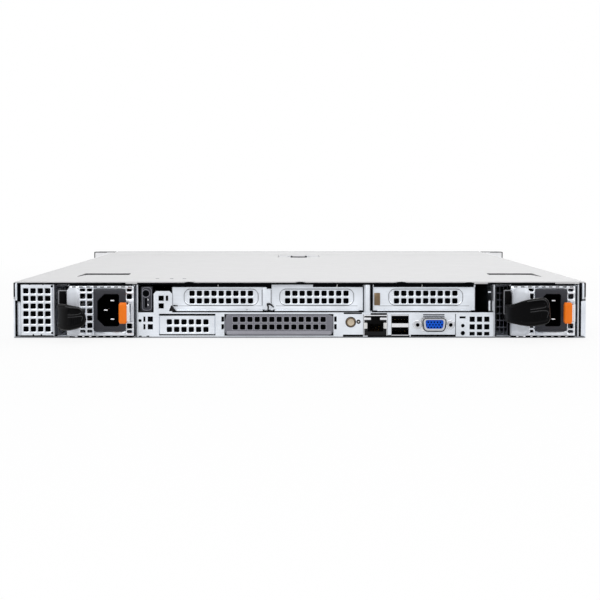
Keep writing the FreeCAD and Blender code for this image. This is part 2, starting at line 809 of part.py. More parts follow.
def psu_case(label, at):
    """Hollow case with a stepped rear face, vents and openings.

    Two lugs inside hold the latch rivet, and a bent guard sheet stands between handle and vents.
    """
    case = Piece(label, at)

    def outline(inset):
        low = inset
        return polygon(
            (low, f"psu_notch_deep + {low}"),
            (f"psu_notch_w + {low}", f"psu_notch_deep + {low}"),
            (f"psu_notch_w + {low}", low),
            (f"psu_w - {low}", low),
            (f"psu_w - {low}", f"psu_len - {low}"),
            (low, f"psu_len - {low}"),
        )

    case.pad("XY", 0, "psu_h", outline("0"))
    case.pocket("XY", "gauge", "psu_h - 2 * gauge", outline("gauge"))
    inlet = rectangle("inlet_x", "inlet_z", "inlet_x + inlet_w", "inlet_z + inlet_h")
    arm_slot = rectangle("inlet_x + inlet_w + 0.3", 11.4, 58.5, 26.2)
    case.pocket("XZ", 0, "gauge", inlet, arm_slot)
    vents = case.pocket("XZ", 0, "gauge", vent_at(20.9, 8.6))
    case.repeat(vents, across=(5.3, 2), up=("vent_pitch", 5))
    edges = case.pocket("XZ", 0, "gauge", vent_at(20.9, 4.2, "vent", 2.2))
    case.repeat(edges, across=(5.3, 2), up=(31.3, 2))
    case.pocket("XZ", 0, "gauge", vent_at(56.3, 8.2), vent_at(56.3, 30.6))
    case.pocket("XZ", 0, "gauge", vent_at(56.3, 4.0, "vent", 2.2), vent_at(56.3, 35.4, "vent", 2.2))
    recess = case.pocket("XZ", "psu_notch_deep", "gauge", vent_at(2.4, 4.4, 2.6, 3.2))
    case.repeat(recess, across=(3.6, 2), up=(4.8, 3))
    lug = rectangle("arm_x - 1.3", "pivot_y - 2", "psu_w", "pivot_y + 2")
    for low in (9.4, 26.7):
        case.pad("XY", low, 1.5, lug)
    root = "psu_notch_w + 0.3"
    guard = polygon(
        (root, "gauge"), (root, -12), (f"{root} + 1.6", -16.4), ("guard_tip_x", "-guard_reach"),
        ("guard_tip_x + 0.7", "0.7 - guard_reach"), (f"{root} + 2.4", -15.8), (f"{root} + 1", -11.7),
        (f"{root} + 1", "gauge"),
    )
    case.pad("XY", 3, "psu_h - 5", guard)
    keep(case)


def psu_inlet(label, at):
    """Mains inlet: chamfered mouth, earth pin at the left, the two line pins one above the other."""
    inlet = Piece(label, at)
    outer = rectangle("inlet_x", "inlet_z", "inlet_x + inlet_w", "inlet_z + inlet_h")
    inlet.pad("XZ", "-inlet_proud", "inlet_proud + inlet_len", outer)
    right = "mouth_x + mouth_w"
    top = "mouth_z + mouth_h"
    mouth = polygon(
        (right, "mouth_z"), (right, top), ("mouth_x + mouth_cut", top), ("mouth_x", f"{top} - mouth_cut"),
        ("mouth_x", "mouth_z + mouth_cut"), ("mouth_x + mouth_cut", "mouth_z"),
    )
    inlet.pocket("XZ", "-inlet_proud", "inlet_proud + mouth_deep", mouth)
    middle = "mouth_z + mouth_h/2"
    line_x = "mouth_x + mouth_w/2 + 1.5"
    pins = [vent_at("mouth_x + 4.6", middle, "pin_w", "pin_t")]
    for sign in ("-", "+"):
        pins.append(vent_at(line_x, f"{middle} {sign} pin_apart/2", "pin_w", "pin_t"))
    inlet.pad("XZ", 0.6, "mouth_deep", *pins)
    keep(inlet)


def psu_handle(side, at):
    """Moulded pull handle: a hooked strap that widens from its root, on a short base bar.

    The strap is soft: the left one leans in and narrows at its end, the right one leans out.
    """
    handle = Piece(f"psu_handle_{side}", at)
    middle = f"handle_{side}_z"
    lean = f"handle_{side}_lean"
    half = "handle_tip_h/2"
    corners = {
        "outer": (f"15.5 + {lean}/2", "3.5 - handle_reach"),
        "inner": (f"18.5 + {lean}/2", "10.5 - handle_reach"),
        "end": (f"28 + {lean}", "-handle_reach"),
        "tip": (f"28.7 + {lean}", "6.3 - handle_reach"),
    }
    strap = polygon(
        (4.8, "psu_notch_deep"), (4.8, -27), corners["outer"], corners["end"],
        corners["tip"], corners["inner"], (9.8, -24), (9.7, "psu_notch_deep"),
    )
    handle.pad("XY", f"{middle} - {half}", "handle_tip_h", strap)
    spots = {name: (number(a), number(b)) for name, (a, b) in corners.items()}
    bends = ((4.8, -27), spots["outer"], spots["inner"], (9.8, -24))
    handle.dress("Fillet", 8, lambda edge: runs_along(edge, "z", *bends))
    ends = (spots["end"], spots["tip"])
    handle.dress("Fillet", 2.6, lambda edge: runs_along(edge, "z", *ends))
    root_cuts = []
    end_cuts = []
    for sign in ("+", "-"):
        root = f"{middle} {sign} handle_root_h/2"
        tip = f"{middle} {sign} {half}"
        end = f"{middle} {sign} handle_end_h/2"
        root_cuts.append(polygon(("psu_notch_deep", root), (-30, tip), ("psu_notch_deep", tip)))
        end_cuts.append(polygon((12, tip), (30, end), (30, tip)))
    handle.pocket("YZ", 4, 8, *root_cuts)
    if side == "left":
        handle.pocket("XZ", -50, 20, *end_cuts)
    handle.pad("XY", 18.5, 17, rectangle(4.8, -12, 9.7, "psu_notch_deep"))
    keep(handle)


def psu_latch(label, at):
    """Spring arm that leaves the face through a slot and carries a thumb tab; it turns on its rivet."""
    latch = Piece(label, at)
    arm = rectangle("arm_x", -14, "arm_x + arm_t", "pivot_y")
    latch.pad("XY", 12, 13.6, arm)
    latch.pad("XY", "tab_z", "tab_h", rectangle("tab_x", -15, "arm_x + arm_t", -8))
    latch.pad("XY", 11, 15.6, regular(12, "arm_x + arm_t/2", "pivot_y", 1.6))
    corner = (number("tab_x"), -15)
    latch.dress("Fillet", 2.5, lambda edge: runs_along(edge, "z", corner))
    keep(latch)


def power_supplies():
    for side in ("left", "right"):
        at = (f"psu_{side}_x", "rear_y - psu_proud", "gauge")
        psu_case(f"psu_case_{side}", at)
        psu_inlet(f"psu_inlet_{side}", at)
        psu_handle(side, at)
        psu_latch(f"psu_latch_{side}", at)


# Electronics


def memory_columns():
    """Left edge of the first socket in each of the four banks, beside the two heatsinks."""
    width = "(dimm_count - 1) * dimm_pitch"
    return (
        "-dimm_first - " + width,
        "-0.5 * dimm_pitch - " + width,
        "0.5 * dimm_pitch",
        "dimm_first",
    )


def motherboard():
    """T-shaped board between the power supplies, with memory sockets soldered on."""
    board = Piece("motherboard")
    outline = polygon(
        ("io_left + 2", "rear_y + board_rear"),
        ("jack_left - 0.3", "rear_y + board_rear"),
        ("jack_left - 0.3", "rear_y + port_len"),
        ("usb_right + 0.3", "rear_y + port_len"),
        ("usb_right + 0.3", "rear_y + board_rear"),
        ("io_right - 2", "rear_y + board_rear"),
        ("io_right - 2", "rear_y + board_step"),
        (212, "rear_y + board_step"),
        (212, "rear_y + board_front"),
        (-212, "rear_y + board_front"),
        (-212, "rear_y + board_step"),
        ("io_left + 2", "rear_y + board_step"),
    )
    board.pad("XY", "board_z", "board_t", outline)
    top = "board_z + board_t"
    for across in memory_columns():
        start = "rear_y + dimm_from - 4"
        area = rectangle(f"{across} - 2.8", start, f"{across} + 2.8", f"{start} + dimm_len + 8")
        socket = board.pad("XY", top, "socket_h", area)
        board.repeat(socket, across=("dimm_pitch", "dimm_count"))
    keep(board)


def memory_modules():
    banks = []
    for index, across in enumerate(memory_columns()):
        bank = Piece(f"bank_{'abcd'[index]}")
        low = "board_z + board_t + socket_h"
        start = "rear_y + dimm_from"
        stick = rectangle(f"{across} - 0.65", start, f"{across} + 0.65", f"{start} + dimm_len")
        module = bank.pad("XY", low, f"dimm_top - ({low})", stick)
        bank.repeat(module, across=("dimm_pitch", "dimm_count"))
        banks.append(bank)
    keep_group("memory_modules", banks)


def processors():
    chips = []
    for side, sign in (("left", "-"), ("right", "+")):
        chip = Piece(f"processor_{side}")
        low = "board_z + board_t"
        middle = f"{sign}sink_x"
        start = "rear_y + sink_from + 12"
        area = rectangle(f"{middle} - 29", start, f"{middle} + 29", f"{start} + 84")
        chip.pad("XY", low, f"sink_low - ({low})", area)
        chips.append(chip)
    keep_group("processors", chips)


def heatsinks():
    """Base plate with straight fins along the air flow."""
    sinks = []
    for side, sign in (("left", "-"), ("right", "+")):
        sink = Piece(f"heatsink_{side}")
        left = f"{sign}sink_x - sink_w/2"
        right = f"{sign}sink_x + sink_w/2"
        base = rectangle(left, "sink_low", right, "sink_low + 4")
        sink.pad("XZ", "rear_y + sink_from", "sink_len", base)
        blade = rectangle(left, "sink_low + 4", f"{left} + 1", "sink_top")
        fin = sink.pad("XZ", "rear_y + sink_from", "sink_len", blade)
        sink.repeat(fin, across=("(sink_w - 1)/(fin_count - 1)", "fin_count"))
        sinks.append(sink)
    keep_group("heatsinks", sinks)


def fan_place(index, along):
    """Middle of one fan, measured along its axis from the inlet side of the frame."""
    return (f"({index} - (fan_count - 1)/2) * fan_pitch", f"rear_y + fan_from + {along}", "gauge + fan_h/2")


def fan_frames():
    """Square frames with a round bore; a bar across the rear holds the motor seat."""
    frames = []
    for index in range(SIZES["fan_count"]):
        frame = Piece(f"fan_frame_{index}", fan_place(index, 0))
        frame.pad("XZ", 0, "fan_len", rectangle("-fan_w/2", "-fan_h/2", "fan_w/2", "fan_h/2"))
        frame.pocket("XZ", 0, "fan_len", regular("bore_sides", 0, 0, "fan_bore_r"))
        frame.pad("XZ", 0, 3, rectangle("-2.5", "-fan_h/2 + 0.5", "2.5", "fan_h/2 - 0.5"))
        frame.pad("XZ", 0, 5, regular("hub_sides", 0, 0, "hub_r"))
        frames.append(frame)
    keep_group("fan_frames", frames)


def fan_rotors():
    """Faceted hub with a slanted blade on every other facet."""
    for index in range(SIZES["fan_count"]):
        rotor = Piece(f"fan_rotor_{index + 1}", fan_place(index, 6))
        rotor.pad("XZ", 0, "rotor_len", regular("hub_sides", 0, 0, "hub_r"))
        blade = polygon((-6, 2), (-4.6, 2), (6, "rotor_len - 2"), (4.6, "rotor_len - 2"))
        one = rotor.pad("XY", "hub_r - 2.6", "blade_r - hub_r + 2.4", blade)
        rotor.turn(one, "Y_Axis", "hub_sides/2")
        keep(rotor)


def drive_backplane():
    board = Piece("drive_backplane")
    area = rectangle(-205, "gauge", 205, "shelf_z - 1.5")
    board.pad("XZ", "rear_y + backplane_from", 2, area)
    vent = board.pocket("XZ", "rear_y + backplane_from", 2, vent_at(-195.8, 22, 12, 8))
    board.repeat(vent, across=(35.6, 12))
    plug = board.pad("XZ", "rear_y + backplane_from + 2", 5, vent_at("-1.5 * bay_pitch", 9, 42, 6))
    board.repeat(plug, across=("bay_pitch", 4))
    keep(board)


# Drive bays


def drive_cage():
    """Dividers between the bays, the shelf over them and the slotted strip above the drives."""
    parts = []
    start = "rear_y + backplane_from + 8"
    length = f"body_front_y - ({start})"
    plates = Piece("bay_dividers")
    side = "-2 * bay_pitch - divider_t/2"
    footprint = rectangle(side, start, f"{side} + divider_t", "body_front_y")
    divider = plates.pad("XY", "gauge", "shelf_z - gauge", footprint)
    plates.repeat(divider, across=("bay_pitch", 5))
    parts.append(plates)
    shelf = Piece("bay_shelf")
    shelf.pad("XY", "shelf_z", "gauge", rectangle(side, start, f"-({side})", f"{start} + {length}"))
    parts.append(shelf)
    strip = Piece("bay_vent_strip")
    low = "shelf_z + gauge"
    strip.pad("XZ", "body_front_y - gauge", "gauge", rectangle(side, low, f"-({side})", "chassis_h - gauge"))
    slot = strip.pocket("XZ", "body_front_y - gauge", "gauge", vent_at(-193.5, f"{low} + 2.6", 38, 2.6))
    strip.repeat(slot, across=(43, 10), up=(4.4, 2))
    parts.append(strip)
    keep_group("drive_cage", parts)


def drive_carrier(label, at):
    """Sled with two side rails, a slotted front cross piece and the lugs of the lever."""
    sled = Piece(label, at)
    back = "-carrier_len"
    front = "-cross_from"
    outline = polygon(
        (0, back), ("rail_t", back), ("rail_t", f"{front} - cross_t"),
        ("carrier_w - rail_t", f"{front} - cross_t"), ("carrier_w - rail_t", back),
        ("carrier_w", back), ("carrier_w", front), (0, front),
    )
    sled.pad("XY", 0, "carrier_h", outline)
    windows = sled.pocket("XZ", f"{front} - cross_t", "cross_t", rectangle(14, 5, 34, 24))
    sled.repeat(windows, across=(26, 3))
    seat = rectangle(0.8, 5, "1.6 + button_w", 24)
    sled.pocket("XZ", f"{front} - 4", 4, seat)
    lug = rectangle("lever_pin_x - 3", front, "carrier_w", -0.6)
    for low in ("0", "carrier_h - 2"):
        sled.pad("XY", low, 2, lug)
    sled.pocket("XY", 0, "carrier_h", regular(12, "lever_pin_x", "lever_pin_y", "(lever_pin_r + 0.15)"))
    keep(sled)


def drive_disk(label, at):
    disk = Piece(label, at)
    start = "-cross_from - cross_t - 1"
    area = rectangle("rail_t", f"{start} - disk_len", "carrier_w - rail_t", start)
    disk.pad("XY", 1, "disk_h", area)
    edges = [(number(x), number(f"{start} - disk_len")) for x in ("rail_t", "carrier_w - rail_t")]
    disk.dress("Chamfer", 2, lambda edge: runs_along(edge, "z", *edges))
    keep(disk)


def drive_lever(label, at):
    """Slotted door across the carrier; it swings on two pins at its right end."""
    lever = Piece(label, at)
    door = rectangle("lever_left", "lever_pin_y - lever_t/2", "lever_pin_x", "lever_pin_y + lever_t/2")
    lever.pad("XY", 2.4, "carrier_h - 4.8", door)
    lever.pad("XY", 2.4, "carrier_h - 4.8", regular(12, "lever_pin_x", "lever_pin_y", "lever_t/2"))
    lever.pad("XY", 0.3, "carrier_h - 0.6", regular(12, "lever_pin_x", "lever_pin_y", "lever_pin_r"))
    slot = lever.pocket("XZ", "lever_pin_y - lever_t/2", "lever_t", vent_at(27, 9.6, 16, 6.6))
    lever.repeat(slot, across=(20, 4), up=(9.8, 2))
    keep(lever)


def drive_button(label, at):
    button = Piece(label, at)
    area = rectangle(1.2, 5.4, "1.2 + button_w", 23.6)
    button.pad("XZ", "-cross_from - 2", "cross_from + 1.2", area)
    keep(button)


def drive_bays():
    for index in range(4):
        left = f"({index} - 2) * bay_pitch + (bay_pitch - carrier_w)/2"
        at = (left, "carrier_front", "carrier_z")
        drive_carrier(f"drive_carrier_{index + 1}", at)
        drive_disk(f"drive_disk_{index + 1}", at)
        drive_lever(f"drive_lever_{index + 1}", at)
        drive_button(f"drive_button_{index + 1}", at)


def check_and_write():
    """Stops on a feature that failed or a pocket that cut nothing, then writes one file per sub-part."""
    for item in doc.Objects:
        if "Invalid" in item.State or "Error" in item.State:
            raise RuntimeError(f"{item.Name} of {item.Label}: {item.State}")
        if item.TypeId == "PartDesign::Pocket":
            before = item.BaseFeature.Shape.Volume
            if item.Shape.Volume > before - 1e-3:
                raise RuntimeError(f"{item.Name} cuts nothing")
    os.makedirs("parts", exist_ok=True)
    for node in nodes:
        if node.Shape.isNull() or not node.Shape.isValid():
            raise RuntimeError(f"{node.Label}: shape is not valid")
        node.Shape.exportStep(f"parts/{node.Label}.step")
    print(len(nodes), "sub-parts written")


floor_pan()
side_walls()
rail_studs()
rack_ears()
power_button()
top_cover()
cover_latch()
drive_bay_cover()
vent_panel()
io_panel()
small_blank()
card_blank()
slot_blanks()
riser_cages()
riser_boards()
cable_anchor()
network_jack()
usb_ports()
video_port()
id_button()
fasteners()
psu_bay_walls()
power_supplies()
motherboard()
memory_modules()
processors()
heatsinks()
fan_frames()
fan_rotors()
drive_backplane()
drive_cage()
drive_bays()
doc.recompute()
check_and_write()
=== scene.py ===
"""Looks of a one-unit rack server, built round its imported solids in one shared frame.

Sizes are in millimetres until a mesh is made. The rear with the power supplies faces -Y,
the drive bays face +Y, +Z is up and the chassis stands on Z = 0.
"""
import json
import logging
import math
from dataclasses import dataclass, field
from enum import Enum
from typing import Sequence

import bmesh
import bpy
import numpy as np
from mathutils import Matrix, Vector

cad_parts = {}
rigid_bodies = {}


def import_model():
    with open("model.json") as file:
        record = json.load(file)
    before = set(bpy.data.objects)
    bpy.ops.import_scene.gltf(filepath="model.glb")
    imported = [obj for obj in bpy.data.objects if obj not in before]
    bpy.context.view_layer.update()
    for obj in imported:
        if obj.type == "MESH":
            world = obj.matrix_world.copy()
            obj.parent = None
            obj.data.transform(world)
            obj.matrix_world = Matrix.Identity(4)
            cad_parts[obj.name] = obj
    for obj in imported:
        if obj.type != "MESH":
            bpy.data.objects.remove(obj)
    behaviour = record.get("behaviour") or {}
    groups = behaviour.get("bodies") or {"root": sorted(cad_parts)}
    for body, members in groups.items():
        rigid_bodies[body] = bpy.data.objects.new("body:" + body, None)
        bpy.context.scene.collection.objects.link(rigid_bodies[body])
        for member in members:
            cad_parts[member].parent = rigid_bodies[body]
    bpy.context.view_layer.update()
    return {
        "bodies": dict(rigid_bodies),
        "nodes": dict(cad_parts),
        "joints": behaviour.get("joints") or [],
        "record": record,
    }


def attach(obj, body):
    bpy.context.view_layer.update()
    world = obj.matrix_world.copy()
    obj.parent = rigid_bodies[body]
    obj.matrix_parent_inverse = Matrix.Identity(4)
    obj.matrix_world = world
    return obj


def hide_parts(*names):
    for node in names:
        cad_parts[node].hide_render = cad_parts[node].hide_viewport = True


LOG = logging.getLogger("rack_server")
MM = 0.001
REAR = -362.5
COVER_TOP = 42.8
HALF_WIDTH = 217.0
BACKWARD = (0, -1, 0)
AXES = {"x": (1, 2, 0), "y": (0, 2, 1), "z": (0, 1, 2)}
ONCE = ((0.0, 0.0, 0.0),)
Patch = tuple[np.ndarray, np.ndarray]
Values = Sequence[float]
Pair = tuple[float, float]
Point = tuple[float, float, float]
Points = list[Point]
Row = tuple[float, ...]
Profile = Sequence[Pair]
Line = tuple[Pair, ...]
Places = Sequence[Values]
Outline = tuple[float, float, float, float]
Boxes = tuple[Row, ...]
Inputs = dict[str | int, object]

# Fine grain of the finishes, in cycles per metre along X, Y and Z
BRUSHED = (60.0, 1500.0, 1500.0)
LENGTHWISE = (1500.0, 60.0, 1500.0)
FINE = (2600.0, 2600.0, 2600.0)
EVEN = (900.0, 900.0, 900.0)
PEEL = (1500.0, 1500.0, 1500.0)
TRACKS = (420.0, 420.0, 420.0)

# How a material mixes its patterns: the range it stretches, the share of fine grain, the relief in metres
PATTERN_LOW, PATTERN_HIGH = 0.25, 0.75
GRAIN_SHARE = 0.4
RELIEF = 0.0002


class Texture(Enum):
    """How a surface is made; the value is the size of its broad pattern, in cycles per metre."""

    SHEET = 70.0  # rolled, with a brushed grain and faint zinc flowers
    MOULDED = 45.0  # fine spark-eroded grain
    PAINTED = 60.0  # slight orange peel
    BOARD = 260.0  # solder mask over straight copper tracks
    CAST = 120.0  # bare metal with fine pits
    PLATED = 90.0  # smooth coat


def set_inputs(node: bpy.types.Node, values: Inputs) -> None:
    """Fills a node's inputs: an output socket is linked, any other value is set.

    Args:
        node: the node.
        values: what goes into each input, by its name or number.
    """
    for key, value in values.items():
        if isinstance(value, bpy.types.NodeSocket):
            node.id_data.links.new(value, node.inputs[key])
        else:
            node.inputs[key].default_value = value


def add_node(tree: bpy.types.NodeTree, kind: str, values: Inputs | None = None) -> bpy.types.Node:
    """Adds a shader node and fills its inputs.

    Args:
        tree: node tree that it is added to.
        kind: type of the node.
        values: what goes into its inputs.

    Returns:
        The node.
    """
    node = tree.nodes.new(f"ShaderNode{kind}")
    set_inputs(node, values or {})
    return node


@dataclass(frozen=True)
class Finish:
    """One finish: its colour, how much it wanders, and how it takes light."""

    name: str
    colour: tuple[int, int, int]
    texture: Texture
    metallic: float = 0.0
    roughness: float = 0.5
    spread: float = 0.12
    variation: float = 0.10
    bump: float = 0.15
    grain: Point = EVEN
    specular: float = 0.5

    def linear(self, factor: float) -> tuple[float, float, float, float]:
        """The colour in linear light.

        Args:
            factor: what its light is multiplied by.

        Returns:
            Red, green, blue and alpha.
        """
        channel = np.array(self.colour) / 255.0
        light = np.where(channel <= 0.04045, channel / 12.92, ((channel + 0.055) / 1.055) ** 2.4)
        return (*np.clip(light * factor, 0.0, 1.0).tolist(), 1.0)

    def material(self) -> bpy.types.Material:
        """The material of this finish, made once.

        Returns:
            A node material on Object coordinates, with colour, roughness and bump of its own.
        """
        label = f"look_{self.name}"
        found = bpy.data.materials.get(label)
        if found:
            return found
        made = bpy.data.materials.new(label)
        made.use_nodes = True
        tree = made.node_tree
        place = add_node(tree, "TexCoord").outputs["Object"]
        scaled = add_node(tree, "Mapping", {"Scale": self.grain, "Vector": place}).outputs["Vector"]
        fine = add_node(tree, "TexNoise", {"Scale": 1.0, "Detail": 3.0, "Vector": scaled}).outputs["Fac"]
        broad = self.broad_pattern(tree, place)
        both = add_node(tree, "Mix", {"Factor": GRAIN_SHARE, "A": broad, "B": fine}).outputs["Result"]
        tint = add_node(tree, "ValToRGB", {"Fac": both})
        for stop, position, sign in zip(tint.color_ramp.elements, (PATTERN_LOW, PATTERN_HIGH), (-1, 1)):
            stop.position = position
            stop.color = self.linear(1.0 + sign * self.variation)
        gloss = add_node(tree, "MapRange", {
            "Value": both, "From Min": PATTERN_LOW, "From Max": PATTERN_HIGH,
            "To Min": self.roughness - self.spread / 2, "To Max": self.roughness + self.spread / 2,
        })
        relief = add_node(tree, "Bump", {"Strength": self.bump, "Distance": RELIEF, "Height": fine})
        set_inputs(tree.nodes["Principled BSDF"], {
            "Metallic": self.metallic, "Specular IOR Level": self.specular,
            "Base Color": tint.outputs["Color"], "Roughness": gloss.outputs["Result"],
            "Normal": relief.outputs["Normal"],
        })
        return made

    def broad_pattern(self, tree: bpy.types.NodeTree, place: bpy.types.NodeSocket) -> bpy.types.NodeSocket:
        """The broad pattern of the texture.

        Args:
            tree: node tree of the material.
            place: socket with the Object coordinates.

        Returns:
            The socket whose value runs from 0 to 1 over the pattern.
        """
        scale = self.texture.value
        if self.texture in (Texture.SHEET, Texture.BOARD):
            cells = add_node(tree, "TexVoronoi", {"Scale": scale, "Vector": place})
            if self.texture is Texture.BOARD:
                cells.distance = "CHEBYCHEV"
            return cells.outputs["Distance"]
        return add_node(tree, "TexNoise", {"Scale": scale, "Detail": 4.0, "Vector": place}).outputs["Fac"]


ZINC = Finish("zinc", (226, 231, 238), Texture.SHEET, 0.70, 0.38, 0.12, 0.08, 0.10, BRUSHED)
COVER = Finish("cover", (212, 212, 213), Texture.SHEET, 0.0, 0.62, 0.10, 0.03, 0.06, LENGTHWISE, 0.15)
PSU_SHEET = Finish("psu_sheet", (228, 232, 238), Texture.SHEET, 0.72, 0.38, 0.12, 0.07, 0.10, BRUSHED)
# Dark copy of the zinc sheet: painted shade in the supplies' recesses, and the colour of the bars above the
# video port.
DARK_SHEET_AND_SHADE = Finish("dark_sheet_and_painted_shade", (84, 87, 95), Texture.SHEET, 0.75, 0.42, 0.12, 0.12, 0.12, BRUSHED)
GUARD = Finish("guard", (226, 230, 237), Texture.SHEET, 0.30, 0.55, 0.12, 0.06, 0.08, BRUSHED)
EAR_SHEET = Finish("ear_sheet", (246, 246, 247), Texture.SHEET, 0.0, 0.60, 0.10, 0.03, 0.06, BRUSHED, 0.15)
STEEL = Finish("steel", (190, 192, 197), Texture.PLATED, 1.0, 0.30, 0.12, 0.08, 0.12)
BRIGHT = Finish("bright", (225, 226, 230), Texture.PLATED, 1.0, 0.20, 0.10, 0.06, 0.05)
GOLD = Finish("gold", (214, 170, 92), Texture.PLATED, 1.0, 0.25, 0.10, 0.08, 0.05)
BRONZE = Finish("bronze", (118, 100, 78), Texture.PLATED, 0.9, 0.36, 0.12, 0.14, 0.10)
COPPER = Finish("copper", (196, 118, 80), Texture.CAST, 1.0, 0.34, 0.14, 0.10, 0.12)
ALUMINIUM = Finish("aluminium", (190, 193, 198), Texture.CAST, 1.0, 0.46, 0.12, 0.07, 0.10)
INNER_ZINC = Finish("inner_zinc", (200, 204, 210), Texture.SHEET, 0.70, 0.50, 0.12, 0.08, 0.10, BRUSHED)
DARK_PAINT = Finish("dark_paint", (120, 120, 128), Texture.PAINTED, 0.25, 0.46, 0.12, 0.16, 0.25, PEEL, 0.3)
# Lighter copy of the dark paint: painted light and highlights on the card blank.
LIT_DARK_PAINT = Finish("lit_dark_paint", (156, 156, 164), Texture.PAINTED, 0.25, 0.46, 0.12, 0.16, 0.25, PEEL, 0.3)
# Dark paint of the ears, carriers and trims; also painted shade in the cover's recesses, in its latch's
# finger slot and round the video port.
EAR_PAINT_AND_SHADE = Finish("ear_paint_and_painted_shade", (48, 49, 53), Texture.PAINTED, 0.1, 0.45, 0.12, 0.12, 0.2, EVEN, 0.25)
BLACK = Finish("black", (15, 15, 17), Texture.MOULDED, 0.0, 0.50, 0.14, 0.20, 0.20, FINE, 0.16)
# Matt near-black: the own colour of labels and linings, and also painted shade in gaps, holes, notches and
# behind vents.
FLAT_BLACK_AND_SHADE = Finish("flat_black_and_painted_shade", (5, 6, 8), Texture.MOULDED, 0.0, 0.70, 0.10, 0.25, 0.15, FINE, 0.02)
HANDLE = Finish("handle", (5, 5, 6), Texture.MOULDED, 0.0, 0.44, 0.14, 0.16, 0.25, FINE, 0.05)
# Grey lines on the black handle: painted highlights on its ridges.
HANDLE_HIGHLIGHT = Finish("handle_painted_highlight", (46, 46, 48), Texture.MOULDED, 0.0, 0.40, 0.12, 0.12, 0.20, FINE, 0.25)
INLET = Finish("inlet", (58, 59, 65), Texture.MOULDED, 0.0, 0.42, 0.12, 0.12, 0.20, FINE, 0.20)
ORANGE = Finish("orange", (255, 124, 10), Texture.MOULDED, 0.0, 0.38, 0.12, 0.07, 0.15, FINE, 0.30)
BLUE = Finish("blue", (6, 90, 220), Texture.MOULDED, 0.0, 0.40, 0.12, 0.12, 0.15, FINE, 0.20)
BEIGE = Finish("beige", (205, 191, 168), Texture.MOULDED, 0.0, 0.28, 0.12, 0.07, 0.10, FINE, 0.35)
WHITE = Finish("white", (228, 228, 226), Texture.MOULDED, 0.0, 0.45, 0.10, 0.04, 0.10, FINE, 0.30)
PALE_GREY = Finish("pale_grey", (192, 193, 196), Texture.MOULDED, 0.0, 0.50, 0.10, 0.05, 0.12, FINE, 0.20)
GREY = Finish("grey", (140, 142, 146), Texture.MOULDED, 0.0, 0.45, 0.12, 0.08, 0.15, FINE, 0.30)
LEVER = Finish("lever", (62, 64, 68), Texture.MOULDED, 0.15, 0.42, 0.12, 0.12, 0.20, FINE, 0.30)
GREEN_LENS = Finish("green_lens", (120, 205, 130), Texture.MOULDED, 0.0, 0.20, 0.10, 0.10, 0.05)
BOARD = Finish("board", (15, 56, 42), Texture.BOARD, 0.0, 0.40, 0.14, 0.35, 0.30, TRACKS, 0.30)
CHIP = Finish("chip", (36, 37, 40), Texture.MOULDED, 0.0, 0.48, 0.12, 0.14, 0.15, EVEN, 0.25)


def grid_faces(rows: int, cols: int, wrap: bool = False) -> np.ndarray:
    """Quads of a grid of points that is stored row by row.

    Args:
        rows: number of rows.
        cols: number of points in a row.
        wrap: joins the last column to the first.

    Returns:
        One row of four indices for each quad.
    """
    step = np.arange(cols if wrap else cols - 1)
    after = (step + 1) % cols
    base = (np.arange(rows - 1) * cols)[:, None]
    quads = np.stack([base + step, base + after, base + cols + after, base + cols + step], axis=-1)
    return quads.reshape(-1, 4)


def oriented(across: np.ndarray, up: np.ndarray, along: np.ndarray, axis: str) -> np.ndarray:
    """Points from two values across an axis and one along it.

    Args:
        across: first value across the axis.
        up: second value across the axis.
        along: value along the axis.
        axis: x, y or z.

    Returns:
        Points in the part's frame, as rows.
    """
    shape = np.broadcast(across, up, along).shape
    points = np.empty(shape + (3,))
    for value, index in zip((across, up, along), AXES[axis]):
        points[..., index] = value
    return points.reshape(-1, 3)


def corner_angles(steps: int) -> np.ndarray:
    """Angles of a quarter turn at each corner of a rectangle, counter-clockwise from the low right one."""
    turn = np.linspace(0.0, np.pi / 2, steps + 1)
    return (np.arange(4)[:, None] * np.pi / 2 - np.pi / 2 + turn).ravel()


def ellipse(wide: float, tall: float, count: int) -> np.ndarray:
    """Plane points at wide cos t and tall sin t, with t in equal steps once round."""
    turn = np.linspace(0, 2 * np.pi, count, endpoint=False)
    return np.stack([wide * np.cos(turn), tall * np.sin(turn)], axis=1)


def soft_block(
    low: Values, high: Values, radius: float, axis: str = "y", steps: int = 3
) -> Patch:
    """Closed block with rounded edges.

    Corner arcs of radius r sin t stand round fixed corner centres, while the place along the
    axis runs as r (1 - cos t) from each end, so that t sweeps every edge as a quarter circle.

    Args:
        low: lowest corner.
        high: highest corner.
        radius: radius of the edges.
        axis: the axis that the outline is carried along.
        steps: segments of a quarter circle.

    Returns:
        Points and quads.
    """
    start, end = np.minimum(low, high), np.maximum(low, high)
    a, b, c = AXES[axis]
    r = min(radius, 0.499 * float((end - start).min()))
    turn = np.linspace(0.0, np.pi / 2, steps + 1)
    angles = corner_angles(steps)
    corner_a = np.repeat([end[a] - r, end[a] - r, start[a] + r, start[a] + r], steps + 1)
    corner_b = np.repeat([start[b] + r, end[b] - r, end[b] - r, start[b] + r], steps + 1)
    reach = np.concatenate([[0], r * np.sin(turn), r * np.sin(turn[::-1]), [0]])
    rise = r * (1 - np.cos(turn))
    along = np.concatenate([[start[c]], start[c] + rise, end[c] - rise[::-1], [end[c]]])
    across = corner_a + reach[:, None] * np.cos(angles)
    up = corner_b + reach[:, None] * np.sin(angles)
    across[[0, -1]] = (start[a] + end[a]) / 2
    up[[0, -1]] = (start[b] + end[b]) / 2
    return oriented(across, up, along[:, None], axis), grid_faces(len(along), len(angles), wrap=True)


